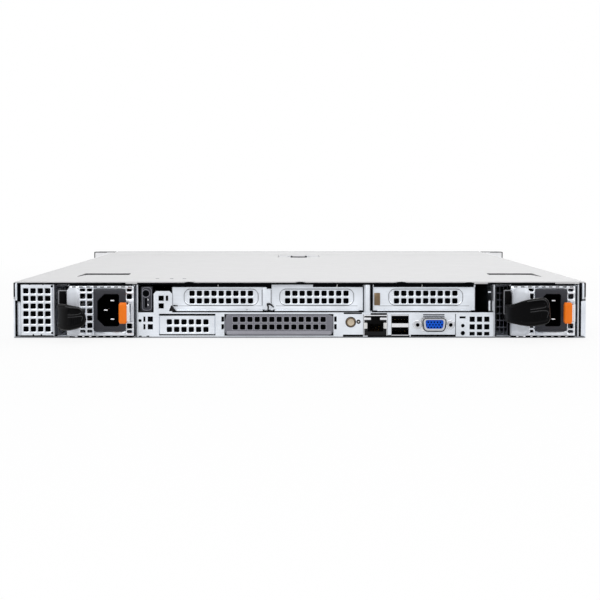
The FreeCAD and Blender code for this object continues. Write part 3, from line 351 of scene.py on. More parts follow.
def turned(profile: Profile, centre: Values, axis: str = "y", count: int = 28) -> Patch:
    """Surface of revolution: each radius and height of the profile goes once round the axis.

    Args:
        profile: radius and height pairs; a radius of 0 closes an end.
        centre: point on the axis that heights are measured from.
        axis: axis of the turn.
        count: points round the axis.

    Returns:
        Points and quads.
    """
    radius, height = np.asarray(profile, float).T[:, :, None]
    angles = np.arange(count) * 2 * np.pi / count
    points = oriented(radius * np.cos(angles), radius * np.sin(angles), height, axis)
    return points + np.asarray(centre, float), grid_faces(len(radius), count, wrap=True)


def smooth_path(corners: Places, rounds: int = 3) -> np.ndarray:
    """A smooth path by cutting corners: each round puts points at 1/4 and 3/4 of every run.

    Args:
        corners: points of the rough path.
        rounds: how many times the corners are cut.

    Returns:
        Points of the smooth path, with the same two ends.
    """
    path = np.asarray(corners, float)
    for _ in range(rounds):
        quarter = path[:-1] * 0.75 + path[1:] * 0.25
        three = path[:-1] * 0.25 + path[1:] * 0.75
        inner = np.stack([quarter, three], axis=1).reshape(-1, path.shape[1])
        path = np.concatenate([path[:1], inner[1:-1], path[-1:]])
    return path


def run_along(path: np.ndarray) -> np.ndarray:
    """Length of a path from its start to each of its points."""
    return np.concatenate([[0.0], np.cumsum(np.linalg.norm(np.diff(path, axis=0), axis=1))])


def beside(path: np.ndarray, up: Values = (0, 0, 1)) -> Patch:
    """Unit vectors along a path and beside it; those beside it are square to the path and to up.

    Args:
        path: points of the path.
        up: direction that the second vectors are square to.

    Returns:
        The vectors along and the vectors beside, one of each for each point.
    """
    tangent = np.gradient(path, axis=0)
    tangent /= np.linalg.norm(tangent, axis=1, keepdims=True)
    side = np.cross(tangent, up)
    return tangent, side / np.linalg.norm(side, axis=1, keepdims=True)


def swept(path: np.ndarray, profile: np.ndarray, up: Values = (0, 0, 1)) -> Patch:
    """A closed profile carried along a path: point = path + side u + lift v, with both ends closed.

    Args:
        path: points of the path.
        profile: u and v pairs of the outline, the same all along or one outline for each point.
        up: direction that the lift stays near.

    Returns:
        Points and quads.
    """
    tangent, side = beside(path, up)
    lift = np.cross(side, tangent)
    outline = np.broadcast_to(profile, (len(path),) + profile.shape[-2:])
    rows = path[:, None] + outline[..., :1] * side[:, None] + outline[..., 1:] * lift[:, None]
    ends = rows[[0, -1]].mean(axis=1, keepdims=True) + np.zeros((1, rows.shape[1], 1))
    rows = np.concatenate([ends[:1], rows, ends[1:]])
    return rows.reshape(-1, 3), grid_faces(len(rows), rows.shape[1], wrap=True)


@dataclass
class Windows:
    """A flat sheet cut into cells by two lists of edges, each cell with a rounded window in it."""

    edges_a: np.ndarray
    edges_b: np.ndarray
    middle_a: np.ndarray
    middle_b: np.ndarray
    half_a: np.ndarray
    half_b: np.ndarray
    radius: float

    @classmethod
    def regular(
        cls, first: Pair, pitch: Pair, count: tuple[int, int],
        size: Pair, radius: float, outline: Outline | None = None,
    ) -> "Windows":
        """Equal windows at equal pitch.

        Args:
            first: middle of the first window.
            pitch: step in both directions.
            count: number of windows in both directions.
            size: width and height of a window.
            radius: radius of its corners.
            outline: left, right, low and high edge; half a pitch round the windows if left out.

        Returns:
            The cells.
        """
        middles = [first[i] + pitch[i] * np.arange(count[i]) for i in range(2)]
        edges = [np.append(m - pitch[i] / 2, m[-1] + pitch[i] / 2) for i, m in enumerate(middles)]
        if outline:
            for line, ends in zip(edges, (outline[:2], outline[2:])):
                line[[0, -1]] = ends
        half = np.full(count, 0.5)
        return cls(*edges, *middles, half * size[0], half * size[1], radius)

    def patch(self) -> Patch:
        """The sheet between the cell edges and the windows.

        A window's ring has four points on each corner arc; the ring on the cell's edge has its
        corner twice and points at thirds of its sides, so that neighbours share every point.
        A window of no size closes its cell.

        Returns:
            Plane points and quads.
        """
        third = 1 / 3
        share_a = np.array([2 * third] + [1.0] * 6 + [2 * third, third] + [0.0] * 6 + [third])
        share_b = np.array([0.0] * 3 + [third, 2 * third] + [1.0] * 6 + [2 * third, third] + [0.0] * 3)
        angles = corner_angles(3)
        sign_a = np.repeat([1, 1, -1, -1], 4)
        sign_b = np.repeat([-1, 1, 1, -1], 4)
        half_a, half_b = self.half_a[..., None], self.half_b[..., None]
        r = np.minimum(self.radius, np.minimum(half_a, half_b))
        hole_a = self.middle_a[:, None, None] + sign_a * (half_a - r) + r * np.cos(angles)
        hole_b = self.middle_b[None, :, None] + sign_b * (half_b - r) + r * np.sin(angles)
        edge_a = self.edges_a[:-1, None] + np.diff(self.edges_a)[:, None] * share_a
        edge_b = self.edges_b[:-1, None] + np.diff(self.edges_b)[:, None] * share_b
        rim_a, rim_b = np.broadcast_arrays(edge_a[:, None], edge_b[None])
        rings = np.stack([np.stack([hole_a, rim_a], 2), np.stack([hole_b, rim_b], 2)], axis=-1)
        cells = rings.shape[0] * rings.shape[1]
        faces = np.arange(cells)[:, None, None] * 32 + grid_faces(2, 16, wrap=True)[None]
        return rings.reshape(-1, 2), faces.reshape(-1, 4)

    def border(self) -> np.ndarray:
        """The points round the outside of all cells, counter-clockwise.

        Returns:
            Plane points, matching those of the patch.
        """
        line_a, line_b = (
            np.append((e[:-1, None] + np.diff(e)[:, None] * np.array([0, 1 / 3, 2 / 3])).ravel(), e[-1])
            for e in (self.edges_a, self.edges_b)
        )
        a = np.concatenate([line_a[:-1], np.full(len(line_b) - 1, line_a[-1]), line_a[:0:-1],
                            np.full(len(line_b) - 1, line_a[0])])
        b = np.concatenate([np.full(len(line_a) - 1, line_b[0]), line_b[:-1],
                            np.full(len(line_a) - 1, line_b[-1]), line_b[:0:-1]])
        return np.stack([a, b], axis=1)


def box_ring(border: np.ndarray, outline: Outline, cut: float = 0.0) -> np.ndarray:
    """The border moved outwards onto a rectangle, with points set on its corners.

    Each point leaves the nearest point of the middle line until it meets a side; a cut takes
    the corners off at 45 degrees.

    Args:
        border: plane points, counter-clockwise.
        outline: left, right, low and high side.
        cut: length taken off each corner.

    Returns:
        Plane points in the same order.
    """
    left, right, low, high = outline
    middle = (low + high) / 2
    start, end = border.min(axis=0), border.max(axis=0)
    reach = min(end - start) / 2
    spine = np.clip(border[:, 0], start[0] + reach, end[0] - reach)
    root = np.stack([spine, np.full(len(border), middle)], axis=1)
    step = border - root
    step /= np.linalg.norm(step, axis=1, keepdims=True)
    safe = np.where(np.abs(step) < 1e-9, 1e-9, step)
    limit_a = np.where(safe[:, 0] > 0, right - spine, left - spine) / safe[:, 0]
    limit_b = np.where(safe[:, 1] > 0, high - middle, low - middle) / safe[:, 1]
    ring = root + step * np.minimum(limit_a, limit_b)[:, None]
    for x in (left, right):
        for z in (low, high):
            near = int(np.argmin(np.abs(ring - (x, z)).sum(axis=1)))
            ring[near] = (x, z)
    inside_a = np.minimum(ring[:, 0] - left, right - ring[:, 0])
    inside_b = np.minimum(ring[:, 1] - low, high - ring[:, 1])
    over = cut - (inside_a + inside_b)
    inward = np.stack([np.sign((left + right) / 2 - ring[:, 0]), np.sign(middle - ring[:, 1])], axis=1)
    return ring + inward * np.maximum(over, 0)[:, None] / 2


def dish_ring(border: np.ndarray, core: Outline, radius: float) -> np.ndarray:
    """The border moved onto a round-cornered outline: all points at one distance from a core rectangle.

    Args:
        border: plane points outside the core, counter-clockwise.
        core: left, right, low and high side of the core.
        radius: distance from it, which is also the radius of the corners.

    Returns:
        Plane points in the same order.
    """
    near = np.stack([np.clip(border[:, 0], *core[:2]), np.clip(border[:, 1], *core[2:])], axis=1)
    step = border - near
    return near + radius * step / np.linalg.norm(step, axis=1, keepdims=True)


def soft_outline(left: float, right: float, low: float, high: float, radius: float) -> np.ndarray:
    """A rectangle with round corners: four arcs of five points, counter-clockwise.

    Args:
        left: left side.
        right: right side.
        low: low side.
        high: high side.
        radius: radius of the corners.

    Returns:
        Plane points.
    """
    angles = corner_angles(4)
    a = np.repeat([right - radius, right - radius, left + radius, left + radius], 5) + radius * np.cos(angles)
    b = np.repeat([low + radius, high - radius, high - radius, low + radius], 5) + radius * np.sin(angles)
    return np.stack([a, b], axis=1)


def ray_rings(centre: Values, *outlines: Places) -> list[np.ndarray]:
    """Convex outlines as rings of one length: each is met by the same rays from a centre.

    The rays go to every corner of every outline, so that no corner is lost; on a side from p
    along d a ray w meets it at t = (p x d) / (w x d).

    Args:
        centre: a point inside all outlines.
        outlines: corners of each outline, counter-clockwise.

    Returns:
        One ring of plane points for each outline.
    """
    shapes = [np.asarray(outline, float) - centre for outline in outlines]
    every = np.concatenate(shapes)
    angles = np.unique(np.round(np.arctan2(every[:, 1], every[:, 0]), 7))
    way = np.stack([np.cos(angles), np.sin(angles)], axis=1)
    rings = []
    for shape in shapes:
        run = np.roll(shape, -1, axis=0) - shape
        height = shape[:, 0] * run[:, 1] - shape[:, 1] * run[:, 0]
        slope = way[:, :1] * run[:, 1] - way[:, 1:] * run[:, 0]
        reach = np.where(slope > 1e-9, height / np.where(slope > 1e-9, slope, 1.0), np.inf).min(axis=1)
        rings.append(way * reach[:, None] + centre)
    return rings


@dataclass
class Shell:
    """Collects patches in millimetres and turns them into one object of the part.

    Its blocks are counted from a level in Y, its back.
    """

    name: str
    origin: Values = (0.0, 0.0, 0.0)
    back: float = REAR
    patches: list[Patch] = field(default_factory=list)

    def add(self, patch: Patch, shifts: Places = ONCE) -> "Shell":
        """Adds a patch once for each shift.

        Args:
            patch: points and quads.
            shifts: offsets of the copies.

        Returns:
            This shell.
        """
        points, faces = patch
        steps = np.asarray(shifts, float).reshape(-1, 3)
        copies = (points[None] + steps[:, None]).reshape(-1, 3)
        numbers = (faces[None] + np.arange(len(steps))[:, None, None] * len(points)).reshape(-1, 4)
        self.patches.append((copies, numbers))
        return self

    def block(
        self, low: Values, high: Values, radius: float, axis: str = "y", steps: int = 2,
        shifts: Places = ONCE,
    ) -> "Shell":
        """Adds a block with rounded edges, once for each shift; see soft_block."""
        return self.add(soft_block(low, high, radius, axis, steps), shifts)

    def blocks(self, radius: float, *boxes: Values) -> "Shell":
        """Adds blocks that have one radius.

        Args:
            radius: radius of the edges.
            boxes: left, right, near, far, low and high side of each block, near and far from the back.

        Returns:
            This shell.
        """
        for left, right, near, far, low, high in boxes:
            self.block((left, self.back + near, low), (right, self.back + far, high), radius)
        return self

    def turn(
        self, profile: Profile, centre: Values, axis: str = "y", count: int = 28,
        shifts: Places = ONCE,
    ) -> "Shell":
        """Adds a surface of revolution, once for each shift; see turned."""
        return self.add(turned(profile, centre, axis, count), shifts)

    def sheet(self, patch: Patch, level: float) -> "Shell":
        """Adds a plane patch of X and Z at a level of Y."""
        points, faces = patch
        return self.add((oriented(points[:, 0], points[:, 1], np.full(len(points), level), "y"), faces))

    def rings(self, rows: Sequence[np.ndarray], levels: Values, shifts: Places = ONCE) -> "Shell":
        """Adds the band between plane rings, once for each shift.

        Args:
            rows: rings of one length, as X and Z.
            levels: Y of each ring.
            shifts: offsets of the copies.

        Returns:
            This shell.
        """
        stack = np.stack(rows)
        points = oriented(stack[..., 0], stack[..., 1], np.asarray(levels, float)[:, None], "y")
        return self.add((points, grid_faces(stack.shape[0], stack.shape[1], wrap=True)), shifts)

    def collar(
        self, inner: np.ndarray, outer: np.ndarray, levels: Pair, shifts: Places = ONCE
    ) -> "Shell":
        """Adds a closed flat ring between two outlines of one length and two levels."""
        near, far = levels
        return self.rings([inner, outer, outer, inner, inner], [near, near, far, far, near], shifts)

    def folded(
        self, cells: Windows, plate: Outline, fold: Outline, levels: Values, cut: float = 0.0
    ) -> "Shell":
        """Adds a sheet of windows with a flat plate round it and a wall folded back from that.

        Args:
            cells: the windows.
            plate: outline of the flat plate.
            fold: outline of the folded wall.
            levels: Y of the windows, the plate, and the near and far end of the wall.
            cut: length taken off each corner.

        Returns:
            This shell.
        """
        rim = cells.border()
        flat, bend = box_ring(rim, plate, cut), box_ring(rim, fold, cut)
        return self.sheet(cells.patch(), levels[0]).rings([rim, flat, bend, bend], levels)

    def welded(self) -> tuple[np.ndarray, list[list[int]]]:
        """All patches with equal points merged and collapsed sides taken out.

        Returns:
            Points in metres, and faces of three or four corners.
        """
        sizes = np.cumsum([0] + [len(points) for points, _ in self.patches])
        points = np.concatenate([points for points, _ in self.patches]) + np.asarray(self.origin, float)
        quads = np.concatenate([faces + start for (_, faces), start in zip(self.patches, sizes)])
        keys, place = np.unique(np.round(points, 4), axis=0, return_inverse=True)
        quads = place.reshape(-1)[quads]
        same = quads == np.roll(quads, -1, axis=1)
        folded = same.sum(axis=1)
        crossed = (quads[:, 0] == quads[:, 2]) | (quads[:, 1] == quads[:, 3])
        one = (folded == 1) & ~crossed
        order = (same[one].argmax(axis=1)[:, None] + 1 + np.arange(3)) % 4
        triangles = np.take_along_axis(quads[one], order, axis=1)
        return keys * MM, quads[(folded == 0) & ~crossed].tolist() + triangles.tolist()

    def build(
        self, finish: Finish, slot: str, body: str = "chassis", replaces: Sequence[str] = (),
        wall: float = 0.0, facing: Values = BACKWARD, sharp: float = 32.0,
    ) -> None:
        """Makes the object at the origin, dresses it and lets it ride on its body.

        Args:
            finish: its finish.
            slot: material slot of the record; not used.
            body: CAD body that carries it.
            replaces: CAD nodes that it stands for.
            wall: thickness added behind an open sheet.
            facing: the way that the face of an open sheet looks.
            sharp: angle from which an edge stays sharp, in degrees.
        """
        points, faces = self.welded()
        mesh = bpy.data.meshes.new(self.name)
        mesh.from_pydata(points, [], faces)
        work = bmesh.new()
        work.from_mesh(mesh)
        bmesh.ops.recalc_face_normals(work, faces=work.faces)
        if wall:
            lean = sum((face.normal * face.calc_area() for face in work.faces), Vector())
            if lean.dot(Vector(facing)) < 0:
                bmesh.ops.reverse_faces(work, faces=work.faces)
        work.to_mesh(mesh)
        work.free()
        mesh.shade_smooth()
        mesh.set_sharp_from_angle(angle=math.radians(sharp))
        mesh.materials.append(finish.material())
        made = bpy.data.objects.new(self.name, mesh)
        bpy.context.scene.collection.objects.link(made)
        if wall:
            thick = made.modifiers.new("wall", "SOLIDIFY")
            thick.thickness = wall * MM
            thick.offset = -1.0
        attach(made, body)
        if replaces:
            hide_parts(*replaces)
        LOG.info("%s: %d faces on %s", self.name, len(faces), body)


@dataclass
class Studio:
    """White studio: soft light, a pale floor and the camera of the photograph."""

    eye: Point = (-2.66, -1707.1, 105.5)
    pitch: float = 3.263
    yaw: float = -0.121
    lens: float = 106.55
    fill: float = 0.45
    floor_half: float = 4000.0
    floor_level: float = -0.0004
    floor_colour: tuple[float, float, float, float] = (0.86, 0.86, 0.87, 1.0)
    fade: Pair = (0.45, 1.3)
    floor_glow: float = 0.84
    lamps: tuple[tuple[str, Point, Pair, float], ...] = (
        ("key", (-1.5, -2.4, 2.3), (2.6, 2.0), 40.0), ("side", (2.6, -1.2, 1.8), (2.0, 2.0), 22.0),
        ("top", (0.0, 0.4, 3.2), (2.6, 2.6), 24.0), ("front", (0.6, 3.0, 1.6), (2.4, 1.8), 24.0),
    )

    def build(self) -> None:
        """Makes the world, the floor, the lamps and the camera."""
        bpy.context.scene.view_settings.view_transform = "Standard"
        self.world()
        self.floor()
        for lamp in self.lamps:
            self.lamp(*lamp)
        eye = bpy.data.cameras.new("camera")
        eye.lens = self.lens
        eye.sensor_width = 36.0
        eye.clip_start, eye.clip_end = 0.05, 60.0
        camera = bpy.data.objects.new("camera", eye)
        camera.location = Vector(self.eye) * MM
        camera.rotation_euler = (math.radians(90.0 - self.pitch), 0.0, math.radians(self.yaw))
        bpy.context.scene.collection.objects.link(camera)
        bpy.context.scene.camera = camera

    @staticmethod
    def seen_ray(tree: bpy.types.NodeTree) -> bpy.types.NodeSocket:
        """A value of 1 for rays that show the background: from the camera, mirrored or passed on.

        Args:
            tree: node tree that it is added to.

        Returns:
            The socket with the value.
        """
        rays = add_node(tree, "LightPath").outputs
        total = rays["Is Camera Ray"]
        for name in ("Is Glossy Ray", "Is Transmission Ray"):
            both = add_node(tree, "Math", {0: total, 1: rays[name]})
            both.operation = "MAXIMUM"
            total = both.outputs[0]
        return total

    def world(self) -> None:
        """A white surround that lights diffuse surfaces less than it shows."""
        world = bpy.data.worlds.new("surround")
        world.use_nodes = True
        bpy.context.scene.world = world
        tree = world.node_tree
        strength = add_node(tree, "MapRange", {"To Min": self.fill, "To Max": 1.0})
        set_inputs(strength, {"Value": self.seen_ray(tree)})
        white = {"Color": (1.0, 1.0, 1.0, 1.0), "Strength": strength.outputs["Result"]}
        set_inputs(tree.nodes["Background"], white)

    def floor(self) -> None:
        """A pale floor that keeps the shadow near the part and fades to white further out."""
        half = np.linspace(-self.floor_half, self.floor_half, 9) * MM
        x, y = np.meshgrid(half, half)
        points = np.stack([x, y, np.full_like(x, self.floor_level)], axis=-1).reshape(-1, 3)
        mesh = bpy.data.meshes.new("floor")
        mesh.from_pydata(points, [], grid_faces(9, 9).tolist())
        made = bpy.data.materials.new("look_floor")
        made.use_nodes = True
        tree = made.node_tree
        paper = tree.nodes["Principled BSDF"]
        set_inputs(paper, {"Base Color": self.floor_colour, "Roughness": 0.9})
        glow = add_node(tree, "Emission").outputs["Emission"]
        away = add_node(tree, "VectorMath", {0: add_node(tree, "TexCoord").outputs["Object"]})
        away.operation = "LENGTH"
        near, far = self.fade
        ramp = add_node(tree, "MapRange", {
            "Value": away.outputs["Value"], "From Min": near, "From Max": far,
            "To Min": self.floor_glow, "To Max": 1.0,
        })
        share = add_node(tree, "Math", {1: ramp.outputs["Result"]})
        share.operation = "MULTIPLY"
        set_inputs(share, {0: self.seen_ray(tree)})
        mix = add_node(tree, "MixShader", {"Fac": share.outputs[0], 1: paper.outputs["BSDF"], 2: glow})
        set_inputs(tree.nodes["Material Output"], {"Surface": mix.outputs["Shader"]})
        mesh.materials.append(made)
        floor = bpy.data.objects.new("floor", mesh)
        bpy.context.scene.collection.objects.link(floor)

    @staticmethod
    def lamp(name: str, place: Point, size: Pair, power: float) -> None:
        """Adds one soft lamp that looks at the middle of the part.

        Args:
            name: name of the lamp.
            place: where it stands, in metres.
            size: width and height, in metres.
            power: power in watts.
        """
        light = bpy.data.lights.new(name, "AREA")
        light.shape = "RECTANGLE"
        light.size, light.size_y = size
        light.energy = power
        lamp = bpy.data.objects.new(name, light)
        lamp.location = place
        lamp.rotation_euler = (-Vector(place)).to_track_quat("-Z", "Y").to_euler()
        bpy.context.scene.collection.objects.link(lamp)


@dataclass
class RearSheets:
    """Pressed sheet parts of the rear wall: the vent panel, the blanks and the side flanges.

    Rows of boxes hold left, right, near, far, low and high side, with near and far from the rear face;
    those of the flanges start with the radius of their edges.
    """

    vent: Pair = (4.0, 4.0)
    vent_pitch: Pair = (5.55, 5.8)
    vent_radius: float = 0.75
    slots: tuple[Point, ...] = (
        (-96.6, -94.8, -24.9), (-22.2, -22.2, 47.8), (55.7, 60.6, 132.8),
    )
    dish_in: float = 7.6
    dish_width: float = 55.0
    dish_low: float = 25.4
    dish_height: float = 11.0
    dish_radius: float = 4.0
    dish_deep: float = 0.9
    card_first: Pair = (-48.9, 8.4)
    card_count: tuple[int, int] = (13, 2)
    # Black plates behind the vents, painted shade
    shade_plate_boxes: Boxes = (
        (-210.6, -188.4, 1.6, 2.4, 3.0, 40.2), (-103.2, -67.4, 1.5, 2.3, 3.6, 16.4),
        (-54.4, 22.8, 0.5, 1.3, 3.6, 16.6), (-121.4, -110.0, 1.15, 1.95, 2.4, 17.6),
        (-60.4, -57.4, 1.15, 1.95, 2.4, 17.6), (26.0, 29.0, 1.15, 1.95, 2.4, 17.6),
        (119.0, 146.4, 1.15, 1.95, 2.4, 17.6),
    )
    flange_boxes: Boxes = (
        (0.5, 213.4, 216.9, -0.3, 1.0, 1.4, 28.0), (0.3, -214.8, -211.4, 2.2, 3.2, 1.6, 28.0),
        (0.3, -215.8, -214.6, -0.25, 2.0, 29.7, 41.0), (0.3, 215.8, 214.6, -0.25, 2.0, 29.7, 41.0),
        (0.4, -28.2, -21.9, 0.9, 2.6, 21.4, 40.0), (0.5, 49.7, 53.2, -0.3, 1.6, 18.2, 40.4),
        (0.4, 143.3, 144.9, 0.2, 2.2, 20.6, 28.3), (0.2, 146.3, 147.0, 0.8, 2.2, 20.6, 28.0),
        (0.3, 142.8, 145.2, 0.8, 2.0, 34.2, 35.4),
    )
    # Black blocks that paint the shade in gaps beside the flanges
    flange_gap_shade_boxes: Boxes = (
        (-215.9, -214.8, -0.1, 2.4, 1.2, 28.4), (-215.9, -211.5, -0.1, 2.6, 27.7, 28.6),
        (-214.5, -211.8, 0.8, 1.4, 28.4, 41.0), (213.6, 216.9, -0.1, 0.5, 28.3, 29.4),
        (211.9, 213.2, 0.2, 1.0, 1.2, 40.8), (53.5, 55.4, 0.2, 1.2, 20.6, 40.4),
        (-25.0, -21.4, 0.05, 1.0, 37.4, 40.5),
    )

    def build(self) -> None:
        """Makes all sheets of the rear wall."""
        self.vent_panel()
        self.slot_blanks()
        self.small_blank()
        self.card_blank()
        self.flanges()
        self.vent_shade_plates()

    def vents(
        self, first: Pair, count: tuple[int, int], edges: Outline | None = None
    ) -> Windows:
        """Square vents of the rear wall, from the middle of the first one."""
        return Windows.regular(first, self.vent_pitch, count, self.vent, self.vent_radius, edges)

    def vent_panel(self) -> None:
        """Vent panel at the left, with a fold round its windows, and black blocks and discs that paint the
        shade in the notches of its edges, in two holes and along its bottom.
        """
        plate, fold = (-211.3, -187.6, 2.1, 40.9), (-211.7, -187.1, 1.7, 41.3)
        levels = [REAR, REAR, REAR + 0.5, REAR + 5.0]
        shell = Shell("vent_panel_sheet").folded(self.vents((-207.7, 6.8), (4, 6)), plate, fold, levels)
        shell.build(ZINC, "zinc_sheet", replaces=["vent_panel"], wall=0.9)
        # Black blocks and discs: painted shade in the notches, holes and bottom gap
        notches = Shell("vent_panel_notch_shade")
        notches.blocks(0.2, *((x - 0.5, x + 0.5, -0.08, 0.6, 40.2, 41.4) for x in (-204.6, -194.6)))
        notches.blocks(0.2, *((x - 0.6, x + 0.6, -0.08, 0.6, 1.4, 3.0) for x in (-202.2, -196.1)))
        hole = [(0, -0.1), (0.8, -0.1), (0.9, 0.0), (0.9, 0.6), (0, 0.6)]
        for z in (3.8, 39.3):
            notches.turn(hole, (-187.9, REAR, z), count=16)
        notches.blocks(0.15, (-212.2, -186.2, -0.05, 0.6, 0.7, 1.6))
        notches.build(FLAT_BLACK_AND_SHADE, "black_plastic")

    def slot_blanks(self) -> None:
        """Three slot blanks: a dish pressed inwards round two rows of windows, with a lip below."""
        shell = Shell("slot_blank_sheets")
        face = REAR + 2.0
        deep = face + self.dish_deep
        levels = [deep, deep, deep - 0.2, face + 0.2, face, face, face + 0.5, face + 3.0]
        for left, dish_from, right in self.slots:
            start = dish_from + self.dish_in
            end, top = start + self.dish_width, self.dish_low + self.dish_height
            edges = (start + 2.95, end - 2.95, self.dish_low + 0.2, top - 0.2)
            cells = self.vents((start + 5.35, self.dish_low + 2.6), (9, 2), edges)
            rim = cells.border()
            radii = [self.dish_radius + grow for grow in (0.0, 0.35, 0.8, 1.2)]
            inner = [dish_ring(rim, self.core(start), radius) for radius in radii]
            outer = box_ring(rim, (left, right, 21.0, 38.8))
            fold = box_ring(rim, (left - 0.4, right + 0.4, 20.4, 39.2))
            shell.sheet(cells.patch(), deep)
            shell.rings([rim, *inner, outer, fold, fold], levels)
        shell.build(ZINC, "zinc_sheet", replaces=["slot_blanks"], wall=0.8)
        lips = Shell("slot_blank_lips")
        lips.blocks(0.3, *((left + 3, right - 3, 0.3, 2.4, 20.4, 21.3) for left, _, right in self.slots))
        lips.build(ZINC, "zinc_sheet")
        self.dish_edge_shade()

    def core(self, start: float) -> Outline:
        """Left, right, low and high side of the rectangle that a dish's corners turn round."""
        r = self.dish_radius
        return start + r, start + self.dish_width - r, self.dish_low + r, self.dish_low + self.dish_height - r

    def dish_edge_shade(self) -> None:
        """Grey lines that paint the shade round each dish, along a fold below it and on the two edges of the
        strap between the first slots.
        """
        # Grey lines: painted shade along the dish edges, the fold and the strap
        shell = Shell("slot_blank_painted_shade")
        face = REAR + 1.95
        around = (np.arange(64) + 0.5) * np.pi / 32
        way = np.stack([np.cos(around), np.sin(around)], axis=1)
        for _, dish_from, _ in self.slots:
            left, right, low, high = self.core(dish_from + self.dish_in)
            corner = np.where(way > 0, (right, high), (left, low))
            inner, outer = (corner + (self.dish_radius + grow) * way for grow in (0.35, 0.8))
            shell.collar(inner, outer, (face, face + 0.2))
        for left, _, right in self.slots:
            shell.block((left + 4.0, face - 0.02, 24.1), (right - 4.0, face + 0.2, 24.45), 0.08)
        straps = ((-28.6, 24.6), (-21.7, 26.2))
        shell.blocks(0.1, *((x - 0.3, x + 0.3, 0.82, 1.2, low, 36.6) for x, low in straps))
        shell.build(GREY, "zinc_sheet")

    def vent_shade_plates(self) -> None:
        """Black plates close behind the blanks and the vents of the lower panel: painted shade that keeps the
        vents dark.
        """
        shell = Shell("vent_painted_shade")
        low, high = self.dish_low + 0.6, self.dish_low + self.dish_height - 0.6
        for _, dish_from, _ in self.slots:
            start = dish_from + self.dish_in
            shell.blocks(0.3, (start + 4.2, start + self.dish_width - 4.2, 4.4, 5.2, low, high))
        shell.blocks(0.3, *self.shade_plate_boxes)
        shell.build(FLAT_BLACK_AND_SHADE, "black_plastic")

    def small_blank(self) -> None:
        """Blank of the unused network opening."""
        plate, fold = (-106.1, -64.7, 2.9, 16.8), (-106.4, -64.4, 2.7, 17.0)
        levels = [REAR + 0.1, REAR + 0.1, REAR + 0.4, REAR + 2.0]
        shell = Shell("small_blank_sheet").folded(self.vents((-99.0, 6.4), (6, 2)), plate, fold, levels)
        shell.build(ZINC, "zinc_sheet", replaces=["small_blank"], wall=0.6)
        wings = Shell("small_blank_wings")
        wings.blocks(0.3, (-108.8, -105.9, 1.05, 1.95, 3.2, 17.2), (-64.9, -62.0, 1.05, 1.95, 3.2, 17.2))
        wings.build(ZINC, "zinc_sheet")

    def card_blank(self) -> None:
        """Dark blank of the network card opening: a painted tray with cut corners, with lighter window rims
        and a lighter bottom band that paint highlights and light on it.
        """
        face = REAR - 1.2
        plate, fold = (-56.2, 24.6, 2.6, 17.3), (-56.9, 25.3, 2.0, 17.9)
        levels = [face, face, face + 0.6, face + 3.2]
        cells = self.vents(self.card_first, self.card_count)
        shell = Shell("card_blank_tray").folded(cells, plate, fold, levels, 2.0)
        shell.build(DARK_PAINT, "dark_blank", replaces=["card_blank"], wall=0.8)
        # Lighter rims and bottom band: painted highlights and light on the dark tray
        trim = Shell("card_blank_painted_light")
        hole, rim = (soft_outline(-half, half, -half, half, 0.75) for half in (2.05, 2.5))
        spots = [(x, face, z) for x in cells.middle_a for z in cells.middle_b]
        trim.collar(hole, rim, (-0.12, 0.2), spots)
        trim.block((-55.4, face - 0.3, 2.7), (23.8, face + 0.4, 5.3), 0.3)
        trim.build(LIT_DARK_PAINT, "dark_blank")

    def flanges(self) -> None:
        """Folded ends of the side walls, the strap between the first two slots, the post and small tabs;
        black blocks and a disc that paint the shade in gaps, holes and vent windows; and a grey strip of
        painted shade on the floor pan's edge.
        """
        shell = Shell("rear_flanges")
        for radius, *box in self.flange_boxes:
            shell.blocks(radius, box)
        shell.build(ZINC, "zinc_sheet")
        # Black blocks and discs: painted shade in gaps, holes and vent windows
        gaps = Shell("rear_gap_painted_shade").blocks(0.15, *self.flange_gap_shade_boxes)
        gaps.blocks(0.3, *((x - 0.9, x + 0.9, 0.4, 2.2, 20.2, 21.4) for x in (-40.2, -27.7, -19.3)))
        gaps.blocks(0.2, *((x - 1.1, x + 1.1, -0.06, 0.5, 0.8, 1.8) for x in (-121.1, -115.3)))
        for low, high in ((7.0, 10.4), (12.4, 16.2)):
            gaps.blocks(0.5, (25.95, 28.05, -0.06, 0.5, low, high), (-59.6, -57.3, -0.06, 0.5, low, high))
        hole = [(0, -0.1), (1.1, -0.1), (1.2, 0.0), (1.2, 0.5), (0, 0.5)]
        gaps.turn(hole, (-121.2, REAR, 13.2), count=20)
        gaps.blocks(0.15, (-106.6, -64.2, 0.15, 0.9, 1.3, 2.5), (-106.6, -64.2, 0.15, 0.9, 17.1, 18.5))
        gaps.build(FLAT_BLACK_AND_SHADE, "black_plastic")
        # Grey strip: painted shade on the floor pan's folded edge
        edge = Shell("floor_pan_edge_shade").blocks(0.15, (-216.6, 216.6, -0.06, 0.4, 0.1, 1.1))
        edge.build(GREY, "zinc_sheet")


